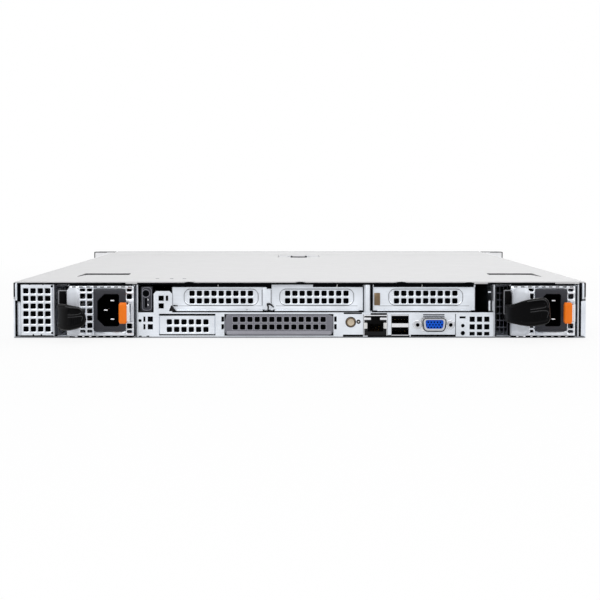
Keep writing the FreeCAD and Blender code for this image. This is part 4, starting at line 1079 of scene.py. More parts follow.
@dataclass
class SlotTrim:
    """Black label strips over the slots with plain numbers, the spring clip and the cable anchor."""

    strips: tuple[tuple[float, float, int], ...] = ((-97.0, -24.0, 1), (10.0, 48.0, 2), (56.0, 132.0, 3))
    strip_low: float = 38.6
    strip_top: float = 41.3
    digit_half: float = 0.85
    clip_middle: Pair = (58.8, 29.4)
    clip_half: Pair = (2.2, 4.6)
    hook_lines: tuple[tuple[Line, float, float], ...] = (
        (((-24.9, 25.3), (-23.2, 25.9), (-21.4, 25.0), (-19.8, 23.3)), 0.9, 0.5),
        (((-24.5, 25.4), (-23.9, 23.6), (-24.0, 20.9)), 0.7, 0.45),
        (((-97.4, 24.7), (-97.3, 22.6), (-97.2, 20.4)), 0.7, 2.9),
        (((-96.0, 24.5), (-94.2, 24.5), (-92.6, 24.4)), 0.5, 0.4),
    )

    def build(self) -> None:
        """Makes the strips, numbers, clip, hooks and anchor."""
        strips = Shell("label_strips")
        numbers = Shell("slot_numbers")
        for left, right, number in self.strips:
            strips.blocks(0.2, (left, right, 0.1, 0.6, self.strip_low, self.strip_top))
            spot = (left * 0.52 + right * 0.48, REAR + 0.06, (self.strip_low + self.strip_top) / 2)
            numbers.add(self.digit(number), [spot])
        strips.build(FLAT_BLACK_AND_SHADE, "black_plastic")
        numbers.build(WHITE, "zinc_sheet")
        self.clip()
        self.hooks()
        self.anchor()

    def clip(self) -> None:
        """Spring clip: a flat oval carried up a line that bows outwards as the square of its height."""
        x, z = self.clip_middle
        wide, tall = self.clip_half
        bow = np.linspace(-1.0, 1.0, 15)
        path = np.stack([np.full(15, x), REAR + 0.9 + 0.9 * bow**2, z + tall * bow], axis=1)
        clip = Shell("spring_clip").add(swept(path, ellipse(wide, 0.3, 20), BACKWARD))
        clip.build(BRONZE, "plain_steel")

    def hooks(self) -> None:
        """Black catches that hold the blanks down: flat bars that widen or taper along short bent lines."""
        shell = Shell("slot_hooks")
        across, through = ellipse(1.0, 0.7, 12).T
        for corners, first, last in self.hook_lines:
            flat = smooth_path(corners)
            path = np.insert(flat, 1, REAR + 0.5, axis=1)
            half = np.linspace(first, last, len(path))[:, None] * across
            thick = np.broadcast_to(through, half.shape)
            shell.add(swept(path, np.stack([half, thick], axis=-1), BACKWARD))
        shell.build(BLACK, "black_plastic")

    def digit(self, number: int) -> Patch:
        """One digit as a thin raised stroke: a small rectangle carried along the digit's line.

        Args:
            number: 1, 2 or 3.

        Returns:
            Points and quads round the digit's middle.
        """
        lines = {
            1: [(-0.4, 0.6), (0.1, 1.0), (0.1, -1.0)],
            2: [(-0.5, 0.55), (-0.25, 0.95), (0.25, 0.95), (0.5, 0.55), (0.2, 0.0), (-0.5, -1.0),
                (0.55, -1.0)],
            3: [(-0.5, 0.8), (0.0, 1.0), (0.5, 0.6), (0.3, 0.2), (0.0, 0.05), (0.4, -0.1), (0.55, -0.5),
                (0.2, -0.95), (-0.5, -0.8)],
        }
        flat = np.asarray(lines[number]) * self.digit_half
        path = np.insert(flat, 1, 0.0, axis=1)
        outline = np.array([(-0.16, -0.06), (0.16, -0.06), (0.16, 0.06), (-0.16, 0.06)])
        return swept(path, outline, BACKWARD)

    @staticmethod
    def anchor() -> None:
        """Black cable anchor: a block with a turned eye and a hooked foot, a dark plate in front, grey rims
        that paint the sheen on its edges, black pieces that paint the shade of its hole, and two bright
        blocks that paint highlights.
        """
        shell = Shell("cable_anchor_moulding").blocks(1.2, (-121.6, -111.4, 4.0, 23.0, 20.0, 39.5))
        shell.blocks(1.0, (-121.4, -111.6, 1.0, 7.0, 15.4, 28.0))
        ring = [(3.0, 0.8), (3.0, 0.2), (3.5, 0.0), (4.5, 0.0), (5.0, 0.4), (5.0, 1.6), (0.0, 1.6)]
        shell.turn(ring, (-116.6, REAR + 3.2, 33.6))
        shell.blocks(0.6, (-120.4, -118.2, 2.6, 5.0, 24.0, 38.6))
        shell.build(BLACK, "black_plastic", replaces=["cable_anchor"])
        plate = Shell("cable_anchor_plate").blocks(0.8, (-120.3, -111.8, 0.85, 3.4, 20.3, 39.0))
        plate.build(INLET, "black_plastic")
        # Grey rims: painted sheen on the anchor's edges
        rims = Shell("cable_anchor_edge_sheen")
        bead = [(2.6, 0.4), (2.6, -0.2), (2.9, -0.3), (3.2, -0.2), (3.2, 0.4)]
        rims.turn(bead, (-116.7, REAR + 0.85, 33.8))
        inner, outer = (
            soft_outline(-119.7 + i, -112.3 - i, 20.8 + i, 38.6 - i, 2.6 - i) for i in (0.5, 0.0)
        )
        rims.collar(inner, outer, (REAR + 0.65, REAR + 1.4))
        rims.build(DARK_PAINT, "black_plastic")
        # Black disc and bar: painted shade at the anchor's hole
        eye = Shell("cable_anchor_eye_shade")
        hole = [(0, -0.05), (2.5, -0.05), (2.6, 0.05), (2.6, 0.4), (0, 0.4)]
        eye.turn(hole, (-116.7, REAR + 0.83, 33.8))
        eye.blocks(0.2, (-117.6, -115.8, 0.75, 1.4, 23.0, 30.2))
        eye.build(FLAT_BLACK_AND_SHADE, "black_plastic")
        # Two bright blocks: painted highlights on the anchor
        pins = Shell("cable_anchor_highlights")
        pins.blocks(0.25, *((-115.5, -114.7, 0.55, 1.4, z - 0.7, z + 0.7) for z in (25.1, 29.0)))
        pins.build(BRIGHT, "plain_steel")


@dataclass
class PortRow:
    """Sockets and buttons of the lower panel."""

    jack: Pair = (48.4, 66.4)
    usb: Pair = (69.6, 82.6)
    mouths: Pair = (2.9, 11.6)
    button: Pair = (38.7, 12.0)
    button_radius: float = 3.7
    video: Pair = (101.7, 10.2)
    screw_pitch: float = 25.0
    rim_box: Outline = (92.3, 111.5, 5.0, 15.4)
    # Black strips of painted shade in the gaps round the ports
    port_gap_shade_boxes: Boxes = (
        (32.8, 48.0, -0.3, 0.4, 0.95, 2.5), (51.6, 83.4, -0.3, 0.4, 0.7, 2.2),
        (84.2, 118.4, -0.3, 0.4, 0.95, 2.5), (53.8, 66.2, -0.3, 0.4, 17.3, 18.9),
        (33.4, 47.2, -0.3, 0.4, 18.2, 19.3), (118.0, 118.45, -0.3, 0.4, 2.2, 18.4),
        (53.6, 66.0, -1.0, 0.0, 15.6, 16.8),
    )

    def build(self) -> None:
        """Makes the details of every port."""
        self.network_socket()
        self.usb_sockets()
        self.id_button()
        self.video_socket()
        self.video_rim()
        # Black strips that paint the shade in the gaps round the ports
        Shell("panel_gap_painted_shade").blocks(0.2, *self.port_gap_shade_boxes).build(FLAT_BLACK_AND_SHADE, "black_plastic")

    def network_socket(self) -> None:
        """Shield fingers, light windows and eight contacts of the network jack."""
        left, right = self.jack
        middle = (left + right) / 2
        face = REAR - 0.8
        frame = Shell("network_jack_shield")
        frame.block((left, face - 0.15, 16.7), (right, face + 6.0, 17.6), 0.25)
        for x in (left, right - 0.6):
            frame.block((x, face - 0.15, 1.9), (x + 0.6, face + 6.0, 17.2), 0.2)
        for x in (left + 0.4, right - 5.6):
            frame.block((x, face - 0.3, 13.7), (x + 5.2, face + 0.5, 15.6), 0.4)
        frame.build(BRIGHT, "port_metal")
        lens = Shell("network_jack_windows")
        for x in (left + 1.5, right - 1.5):
            lens.block((x - 1.4, face - 0.6, 7.0), (x + 1.4, face + 0.7, 11.6), 0.6, steps=3)
        lens.build(WHITE, "button_beige")
        wires = Shell("network_jack_contacts")
        path = smooth_path([(0, REAR + 2.0, 5.2), (0, REAR + 6.0, 6.6), (0, REAR + 11.0, 9.6)], 2)
        outline = np.array([(-0.22, -0.15), (0.22, -0.15), (0.22, 0.15), (-0.22, 0.15)])
        wires.add(swept(path, outline), [(middle + 1.02 * (i - 3.5), 0, 0) for i in range(8)])
        wires.build(GOLD, "port_metal")

    def usb_sockets(self) -> None:
        """Dark lining and tongue of the two stacked sockets, with four contacts each."""
        left, right = self.usb
        lining = Shell("usb_tongues")
        contacts = Shell("usb_contacts")
        for low in self.mouths:
            lining.blocks(0.3, (left + 0.9, right - 0.9, 0.7, 11.3, low + 2.35, low + 4.45))
            lining.blocks(0.2, (left + 0.55, right - 0.55, 10.6, 11.35, low + 0.05, low + 4.75))
            for x in (left + 0.52, right - 0.72):
                lining.blocks(0.08, (x, x + 0.2, 0.4, 11.3, low + 0.05, low + 4.75))
            for z in (low + 0.02, low + 4.62):
                lining.blocks(0.06, (left + 0.52, right - 0.52, 0.4, 11.3, z, z + 0.16))
            mouth = soft_outline(left + 0.7, right - 0.7, low + 0.15, low + 4.65, 0.3)
            edge = soft_outline(left + 0.1, right - 0.1, low - 0.5, low + 5.3, 0.3)
            lining.collar(mouth, edge, (REAR - 0.75, REAR - 0.5))
            across = [((left + right) / 2 + 2.3 * (i - 1.5), 0, low) for i in range(4)]
            contacts.block((-0.5, REAR + 1.4, 2.2), (0.5, REAR + 8.0, 2.42), 0.1, shifts=across, steps=1)
        lining.build(FLAT_BLACK_AND_SHADE, "black_plastic")
        contacts.build(GOLD, "port_metal")

    def id_button(self) -> None:
        """Button with a hollow face and a dark rim, and the small light beside it."""
        x, z = self.button
        r = self.button_radius
        at, beside = (x, REAR, z), (x + 5.9, REAR, z + 0.3)
        dish = [(0, -1.15), (r * 0.3, -1.2), (r * 0.55, -1.5), (r * 0.68, -1.75), (r * 0.7, -1.2), (0, -0.9)]
        cap = [(0, -1.0), (r * 0.69, -1.0), (r * 0.69, -1.7), (r * 0.78, -1.7), (r - 0.35, -1.2),
               (r - 0.1, -0.7), (r - 0.1, 4.0), (0, 4.0)]
        ring = [(r, 0.5), (r, -0.2), (r + 0.15, -0.3), (r + 0.35, -0.2), (r + 0.4, 0.5)]
        lamp = [(0.6, 0.2), (0.6, -0.2), (0.9, -0.35), (1.5, -0.3), (1.7, 0.2)]
        lens = [(0, -0.3), (0.5, -0.22), (0.75, 0.0), (0.75, 0.2)]
        Shell("id_button_dish").turn(dish, at, count=40).build(BEIGE, "button_beige", "id_button")
        face = Shell("id_button_cap").turn(cap, at, count=40)
        face.build(BRONZE, "button_beige", "id_button", ["id_button"])
        Shell("id_button_ring").turn(ring, at, count=40).build(EAR_PAINT_AND_SHADE, "plain_steel")
        Shell("id_light_rim").turn(lamp, beside, count=24).build(BLACK, "black_plastic")
        Shell("id_light_lens").turn(lens, beside, count=24).build(WHITE, "button_beige")

    def video_socket(self) -> None:
        """Black discs that paint the shade in the video port's pin holes, the washers of its two jack screws
        and black linings that paint the shade in their bores.
        """
        x, z = self.video
        screws = [(side * self.screw_pitch / 2, 0, 0) for side in (-1, 1)]
        washers = Shell("video_washers")
        rim = [(1.5, -0.1), (1.5, -0.5), (3.2, -0.5), (3.5, -0.2), (3.5, 0.05)]
        washers.turn(rim, (x, REAR, z), shifts=screws)
        washers.build(BRIGHT, "plain_steel")
        # Black discs and bore linings: painted shade in holes
        dark = Shell("video_hole_shade")
        socket = [(0, -5.0), (0.5, -5.0), (0.62, -4.9), (0.62, -4.6), (0, -4.6)]
        rows = [(x + start + 2.3 * i, 0, z + row)
                for row, start in ((2, -4.5), (0.1, -3.3), (-1.8, -4.5)) for i in range(5)]
        dark.turn(socket, (0, REAR, 0), count=12, shifts=rows)
        thread = [(1.40, -4.7), (1.40, -0.5), (0, -0.5), (0, -0.7), (1.2, -0.7), (1.2, -4.7), (1.40, -4.7)]
        dark.turn(thread, (x, REAR, z), count=20, shifts=screws)
        dark.build(FLAT_BLACK_AND_SHADE, "black_plastic")

    def video_rim(self) -> None:
        """Rim of the video port, a dark ring of painted shade round it, and the shelf above it.

        The rim is a rounded rectangle whose width shrinks in step with the distance from its top.
        """
        left, right, low, high = self.rim_box
        middle = (left + right) / 2
        outlines = []
        for inset, radius in ((2.4, 1.8), (1.0, 2.6), (0.9, 2.6), (0.0, 3.2)):
            ring = soft_outline(left + inset, right - inset, low + inset, high - 0.55 * inset, radius)
            ring[:, 0] = middle + (ring[:, 0] - middle) * (1 - 0.16 * (high - ring[:, 1]) / (high - low))
            outlines.append(ring)
        rim = Shell("video_shell_rim").collar(outlines[0], outlines[1], (REAR - 5.75, REAR - 5.2))
        rim.build(STEEL, "port_metal")
        # Dark ring: painted shade in the gap round the shell
        edge = Shell("video_shell_shade_ring").collar(outlines[2], outlines[3], (REAR - 5.65, REAR - 4.9))
        edge.build(EAR_PAINT_AND_SHADE, "port_metal")
        shelf = Shell("video_shelf_bars")
        shelf.blocks(0.25, *((93.6, 109.8, -0.5, 0.3, z, z + 0.9) for z in (15.7, 17.2)))
        shelf.build(DARK_SHEET_AND_SHADE, "port_metal")


@dataclass
class PowerSupply:
    """One hot-swap supply: case, fan, inlet, pull handle and spring latch, measured from its face corner.

    The handle's stations run from its root to its end; there it has a height above and below its middle.
    """

    side: str
    left: float
    lean: float
    handle_middle: Row
    handle_half: Row
    stations: Row = (0.0, 0.3, 0.55, 0.72, 0.82, 0.92, 1.0)
    end_radius: float = 4.0
    width: float = 60.5
    height: float = 39.4
    length: float = 185.0
    notch_width: float = 10.0
    notch_deep: float = 9.0
    columns: Pair = (20.9, 26.2)
    rows: Row = (4.2, 8.6, 14.15, 19.7, 25.25, 30.8, 35.5)
    right_rows: Row = (4.0, 8.2, 18.8, 30.6, 35.4)
    right_edges: Row = (0.0, 5.9, 10.7, 27.4, 33.2, 39.4)
    inlet: Outline = (29.4, 53.4, 4.3, 36.1)
    inlet_middle: Pair = (40.4, 20.2)
    mouth: Line = (
        (47.6, 7.9), (48.6, 8.9), (48.6, 31.5), (47.6, 32.5), (37.5, 32.5), (32.2, 27.2), (32.2, 13.2),
        (37.5, 7.9),
    )
    pins: Line = ((38.4, 20.2), (43.4, 13.3), (43.4, 27.4))
    guard_line: Line = ((10.3, 0.5), (10.3, -11.0), (11.2, -16.2), (21.4, -26.2))
    guard_span: Pair = (2.0, 38.4)
    guard_radius: float = 2.5
    finger_pitch: float = 5.3
    fan_middle: Pair = (19.2, 20.0)
    # Lines of painted highlight on the handle: place along it and level across it
    highlight_lines: tuple[Line, ...] = (
        ((0.77, 0.86), (0.90, 0.86), (0.965, 0.84), (0.985, 0.6), (0.985, 0.3)),
        ((0.80, 0.24), (0.90, 0.24), (0.955, 0.26), (0.965, 0.4)),
        ((0.80, 0.06), (0.93, 0.06), (0.985, 0.0), (0.99, -0.3), (0.975, -0.55)),
    )

    @property
    def body(self) -> str:
        """Body that carries the supply."""
        return f"psu_{self.side}"

    def shell(self, name: str) -> Shell:
        """A shell in this supply's own frame."""
        return Shell(f"{name}_{self.side}", (self.left, REAR - 1.5, 1.0), 0.0)

    def build(self) -> None:
        """Makes the supply's pieces."""
        self.case()
        self.grille()
        self.guard()
        self.seams()
        self.fan()
        self.inlet_block()
        self.handle()
        self.latch()

    def case(self) -> None:
        """Folded case: two tubes of sheet with a stepped face full of rounded windows."""
        shell = self.shell("psu_sheet_case")
        w, h, deep = self.width, self.height, self.notch_deep
        shell.rings([soft_outline(0.0, w, 0.0, h, 1.2)] * 2, [deep, self.length])
        shell.rings([soft_outline(self.notch_width, w, 0.0, h, 1.2)] * 2, [0.0, deep + 0.5])
        rows = np.asarray(self.rows)
        edges_b = np.concatenate([[0.0], (rows[1:] + rows[:-1]) / 2, [h]])
        tall = np.where(np.isin(rows, (self.rows[0], self.rows[-1])), 1.1, 2.0)
        half_b = np.stack([np.zeros(len(rows)), tall, tall])
        half_a = np.where(half_b > 0, 2.0, 0.0)
        edges_a = np.array([self.notch_width, self.columns[0] - 2.65, sum(self.columns) / 2, self.inlet[0]])
        middle_a = np.array([edges_a[:2].mean(), *self.columns])
        shell.sheet(Windows(edges_a, edges_b, middle_a, rows, half_a, half_b, 0.7).patch(), 0.0)
        across = np.array(self.inlet[:2])
        none = np.zeros((1, 1))
        for ends in ((0.0, self.inlet[2]), (self.inlet[3], h)):
            band = np.array(ends)
            middles = across.mean(keepdims=True), band.mean(keepdims=True)
            shell.sheet(Windows(across, band, *middles, none, none, 0.0).patch(), 0.0)
        tall = np.array([[1.1, 2.0, 7.4, 2.0, 1.1]])
        wide = np.array([[2.0, 2.0, 2.4, 2.0, 2.0]])
        edges = np.array([self.inlet[1], w]), np.array(self.right_edges)
        middles = np.array([56.2]), np.array(self.right_rows)
        shell.sheet(Windows(*edges, *middles, wide, tall, 0.7).patch(), 0.0)
        replaced = [f"psu_case_{self.side}"]
        shell.build(PSU_SHEET, "psu_sheet", self.body, replaced, wall=0.9)
        back = self.shell("psu_back_board")
        end = self.length
        back.blocks(0.4, (1.0, w - 1.0, end - 2.0, end, 1.0, h - 1.0))
        back.blocks(0.5, (14.0, 46.0, end, end + 9.0, 14.0, 17.0))
        back.build(BOARD, "circuit_board", self.body)

    def grille(self) -> None:
        """Grille at the bottom of the recess: three columns of upright windows in a dark sheet that paints
        the recess's shade, and a black wall beside it that paints shade too.
        """
        edges = (0.2, 9.9, 0.6, 38.8)
        cells = Windows.regular((2.0, 4.1), (2.98, 5.2), (3, 7), (2.35, 4.3), 0.4, edges)
        shell = self.shell("psu_recess_grille").sheet(cells.patch(), self.notch_deep - 0.05)
        shell.build(DARK_SHEET_AND_SHADE, "psu_sheet", self.body, wall=0.6)
        # Black wall: painted shade beside the recess
        walls = self.shell("psu_recess_wall_shade").blocks(0.1, (9.75, 10.05, 0.3, self.notch_deep, 0.8, 38.6))
        walls.build(FLAT_BLACK_AND_SHADE, "black_plastic", self.body)

    def guard(self) -> None:
        """Bent sheet between handle and vents: a smooth line carried upwards, its free corners rounded.

        The height shrinks by r - sqrt(r r - (r - e)^2) where the distance e to the free edge is below r,
        and its top falls by a soft step beside the bend.
        """
        path = smooth_path(self.guard_line, 4)
        run = run_along(path)
        r = self.guard_radius
        inside = np.clip(r - (run[-1] - run), 0.0, r)
        inset = r - np.sqrt(r * r - inside**2)
        low, high = self.guard_span
        share = np.linspace(0.0, 1.0, 9)
        cut = 1 - np.clip((path[:, 0] - 10.8) / 2.6, 0.0, 1.0)
        cut = 2.4 * cut * cut * (3 - 2 * cut)
        z = (low + inset)[:, None] + (high - low - 2 * inset - cut)[:, None] * share
        points = oriented(path[:, :1], z, path[:, 1:], "y")
        shell = self.shell("psu_guard_sheet").add((points, grid_faces(len(path), len(share))))
        shell.build(GUARD, "psu_sheet", self.body, wall=0.9)

    def seams(self) -> None:
        """Spring gasket along the top and bottom edge: bright fingers, with black blocks that paint the shade
        in the gaps between them and along both edges.
        """
        dark, fingers = self.shell("psu_gasket"), self.shell("psu_gasket_fingers")
        # Black blocks: painted shade in the gaps and along the edges
        for low, high in ((-0.55, 0.75), (38.7, 39.6)):
            dark.blocks(0.2, (11.0, 58.6, -0.12, 3.0, low, high))
        gaps, between = (
            [(x, 0.0, 0.0) for x in np.arange(start, 57.0, self.finger_pitch)] for start in (13.0, 15.0)
        )
        dark.block((0.0, -0.1, 37.4), (2.9, 0.3, 38.2), 0.12, steps=1, shifts=gaps)
        dark.build(FLAT_BLACK_AND_SHADE, "black_plastic", self.body)
        fingers.block((0.0, -0.3, -0.2), (2.0, 2.0, 0.35), 0.2, steps=1, shifts=between)
        fingers.build(BRIGHT, "plain_steel", self.body)

    def fan(self) -> None:
        """Fan behind the face, seen through its windows: a hub and nine slanted blades."""
        x, z = self.fan_middle
        shell = self.shell("psu_fan")
        shell.turn([(0, 12.0), (4.4, 12.0), (5.0, 12.6), (5.0, 19.0), (0, 19.0)], (x, 0, z))
        shell.add(blades((x, 12.6, z), 4.6, 9.8, 6.0, 9, 26.0))
        shell.build(GREY, "button_grey", self.body)

    def inlet_block(self) -> None:
        """Mains inlet: a bezel with a rounded rim, a black mouth with two cut corners and three flat pins."""
        left, right, low, high = self.inlet
        middle = self.inlet_middle
        rims = [soft_outline(left + i, right - i, low + i, high - i, 1.6 - i) for i in (0.0, 0.4, 0.9)]
        mouth = np.asarray(self.mouth)
        wide, tight = (middle + (mouth - middle) * factor for factor in (1.035, 0.97))
        rim, soft, flat, wide, mouth, tight = ray_rings(middle, *rims, wide, mouth, tight)
        point = np.broadcast_to(middle, rim.shape)
        shell = self.shell("psu_inlet_bezel")
        shell.rings([point, rim, rim, soft, flat, wide, mouth, mouth, point],
                    [23.8, 23.8, -0.9, -1.4, -1.6, -1.6, -1.2, 16.4, 16.4])
        shell.build(INLET, "inlet_plastic", self.body, [f"psu_inlet_{self.side}"])
        lining = self.shell("psu_inlet_mouth")
        lining.rings([point, tight, tight, mouth, mouth, point], [15.6, 15.6, -0.5, -0.5, 16.2, 16.2])
        lining.build(FLAT_BLACK_AND_SHADE, "black_plastic", self.body)
        pins = self.shell("psu_inlet_pins")
        for x, z in self.pins:
            pins.block((x - 1.6, 0.8, z - 0.6), (x + 1.6, 15.9, z + 0.6), 0.45, steps=3)
        pins.build(BRIGHT, "plain_steel", self.body)

    def handle(self) -> None:
        """Pull handle: a strap section carried along the hooked line.

        Across the strap v runs from -1 to 1. The outer face is 2.2 mm off the line, with beads
        where |v| is near 0.84, a pill pressed into the upper half and ribs across the grip; middle
        and height are read between the stations along the line, and the end has round corners.
        """
        line = [(7.25, 8.8), (7.25, -16.0), (7.3, -25.5), (11.0 + 0.25 * self.lean, -34.5),
                (18.0 + 0.6 * self.lean, -40.8), (27.6 + self.lean, -44.6)]
        rough = smooth_path(line, 4)
        run = run_along(rough)
        s = np.linspace(0.0, 1.0, 130)
        flat = np.stack([np.interp(s * run[-1], run, rough[:, i]) for i in range(2)], axis=1)
        read = smooth_path(np.column_stack([self.stations, self.handle_middle, self.handle_half]), 3)
        path = np.column_stack([flat, np.interp(s, read[:, 0], read[:, 1])])
        r = self.end_radius
        inside = np.clip(r - (1 - s) * run[-1], 0.0, 0.98 * r)
        half = np.interp(s, read[:, 0], read[:, 2]) - r + np.sqrt(r * r - inside**2)
        v = np.linspace(-1.0, 1.0, 45)
        edge = np.sqrt(np.clip(1 - np.abs(v) ** 14, 0, 1))
        bead = 0.8 * np.exp(-(((np.abs(v) - 0.84) / 0.12) ** 2))
        place, level = np.meshgrid(s, v, indexing="ij")
        gap = np.hypot(np.clip(np.abs(place - 0.885) - 0.045, 0, None) * 66, (level - 0.5) * 10)
        pill = -0.9 / (1 + np.exp((gap - 2.2) * 4))
        grip = 1 / (1 + np.exp((np.abs(place - 0.88) - 0.07) * 120))
        grip = grip / (1 + np.exp((np.abs(level + 0.3) - 0.30) * 40))
        ribs = 0.5 * grip * (0.6 + 0.4 * np.cos(place * 2 * np.pi * 46))
        taper = (1 - 0.35 * np.clip((s - 0.9) / 0.1, 0, 1))[:, None]
        outer = (2.2 * taper + bead + pill + ribs) * edge
        inner = np.broadcast_to(-2.3 * taper * edge[::3], (len(s), len(v[::3])))
        u = np.concatenate([outer, inner[:, ::-1]], axis=1)
        across = np.concatenate([v, v[::3][::-1]])
        section = np.stack([u, half[:, None] * across], axis=-1)
        shell = self.shell("psu_pull_handle").add(swept(path, section))
        shell.blocks(0.9, (4.8, 9.7, -12.0, 8.8, 18.5, 35.5))
        shell.build(HANDLE, "handle_black", self.body, [f"psu_handle_{self.side}"], sharp=40.0)
        self.handle_rims(path, half, outer)

    def handle_rims(self, path: np.ndarray, half: np.ndarray, outer: np.ndarray) -> None:
        """Pale lines on the handle, thin tubes that follow its outer face and paint highlights on its ridges,
        and a frame round its root.

        Args:
            path: middle line of the strap.
            half: half height at each point.
            outer: height of the face over the line, for each point and each level across.
        """
        # Pale tubes: painted highlights on the handle's ridges
        rims = self.shell("psu_handle_rims")
        _, side = beside(path)
        step = np.arange(len(path))
        for line in self.highlight_lines:
            at, level = smooth_path(line, 3).T
            row = at * (len(path) - 1)
            spot, way = (
                np.column_stack([np.interp(row, step, part) for part in data.T]) for data in (path, side)
            )
            column = np.rint((level + 1) / 2 * (outer.shape[1] - 1)).astype(int)
            spot += way * outer[np.rint(row).astype(int), column][:, None]
            spot[:, 2] += np.interp(row, step, half) * level
            rims.add(swept(spot, ellipse(0.3, 0.3, 8), BACKWARD))
        rims.build(HANDLE_HIGHLIGHT, "handle_black", self.body)
        frame = self.shell("psu_handle_root_frame").blocks(
            0.2, (4.0, 10.0, -12.3, -11.5, 35.3, 36.1), (4.0, 4.7, -12.3, -11.5, 18.0, 36.0),
            (4.0, 8.8, -12.3, -11.5, 17.9, 18.6),
        )
        frame.build(GREY, "handle_black", self.body)

    def latch(self) -> None:
        """Spring latch: a bent steel arm and a soft orange thumb tab.

        The tab's section is a rounded square, |cos|^0.35 by |sin|^0.35, that shrinks at both ends.
        """
        body = f"psu_latch_{self.side}"
        count = 17
        rise = np.linspace(10.9, 26.6, count)
        path = np.column_stack([np.full(count, 52.5), np.full(count, -11.4), rise])
        corner = [np.sign(wave) * np.abs(wave) ** 0.35 for wave in ellipse(1.0, 1.0, 40).T]
        outline = np.stack([3.0 * corner[0], 3.5 * corner[1]], axis=1)
        ease = 1 - 0.25 * np.abs(np.linspace(-1, 1, count)) ** 12
        tab = self.shell("psu_latch_tab").add(swept(path, outline[None] * ease[:, None, None], BACKWARD))
        tab.build(ORANGE, "latch_orange", body, [body], sharp=45.0)
        arm = self.shell("psu_latch_arm").blocks(0.5, (56.3, 57.8, -13.6, 27.0, 12.0, 25.6))
        arm.blocks(0.5, (54.6, 57.4, -13.2, -11.8, 12.4, 25.2))
        arm.blocks(0.3, (55.2, 59.2, 1.3, 2.1, 11.0, 26.6))
        arm.turn([(0, 0), (1.5, 0), (1.5, 15.6), (0, 15.6)], (57.05, 27.0, 11.0), "z", 20)
        arm.build(BRIGHT, "plain_steel", body)


def blades(centre: Values, hub: float, tip: float, depth: float, count: int, lean: float) -> Patch:
    """Twisted fan blades as thin closed sheets.

    A blade is a grid in radius and depth; its angle grows with depth by the lean, which eases
    towards the tip, and the two faces stand up to 0.7 mm apart.

    Args:
        centre: middle of the inlet side of the hub.
        hub: radius where the blade starts.
        tip: radius where it ends.
        depth: length along the axis.
        count: number of blades.
        lean: turn along the depth at the hub, in degrees.

    Returns:
        Points and quads.
    """
    rings, side = 6, 8
    round_all = 2 * side
    radius = np.linspace(hub, tip, rings)[:, None]
    share = np.concatenate([np.linspace(0, 1, side), np.linspace(1, 0, side)])[None]
    thick = np.repeat([0.35, -0.35], side)[None] * np.sqrt(np.sin(np.pi * (0.06 + 0.88 * share)))
    angle = math.radians(lean) * share * (1.25 - 0.25 * radius / hub) + thick / radius
    full = angle[None] + (np.arange(count) * 2 * np.pi / count)[:, None, None]
    points = oriented(radius * np.cos(full), radius * np.sin(full), depth * share + 0 * full, "y")
    step = np.arange(side - 1)
    cap = np.stack([step, step + 1, round_all - 2 - step, round_all - 1 - step], axis=1)
    skin = grid_faces(rings, round_all, wrap=True)
    one = np.concatenate([skin, cap[:, ::-1], cap + (rings - 1) * round_all])
    faces = (np.arange(count)[:, None, None] * rings * round_all + one[None]).reshape(-1, 4)
    return points + np.asarray(centre, float), faces


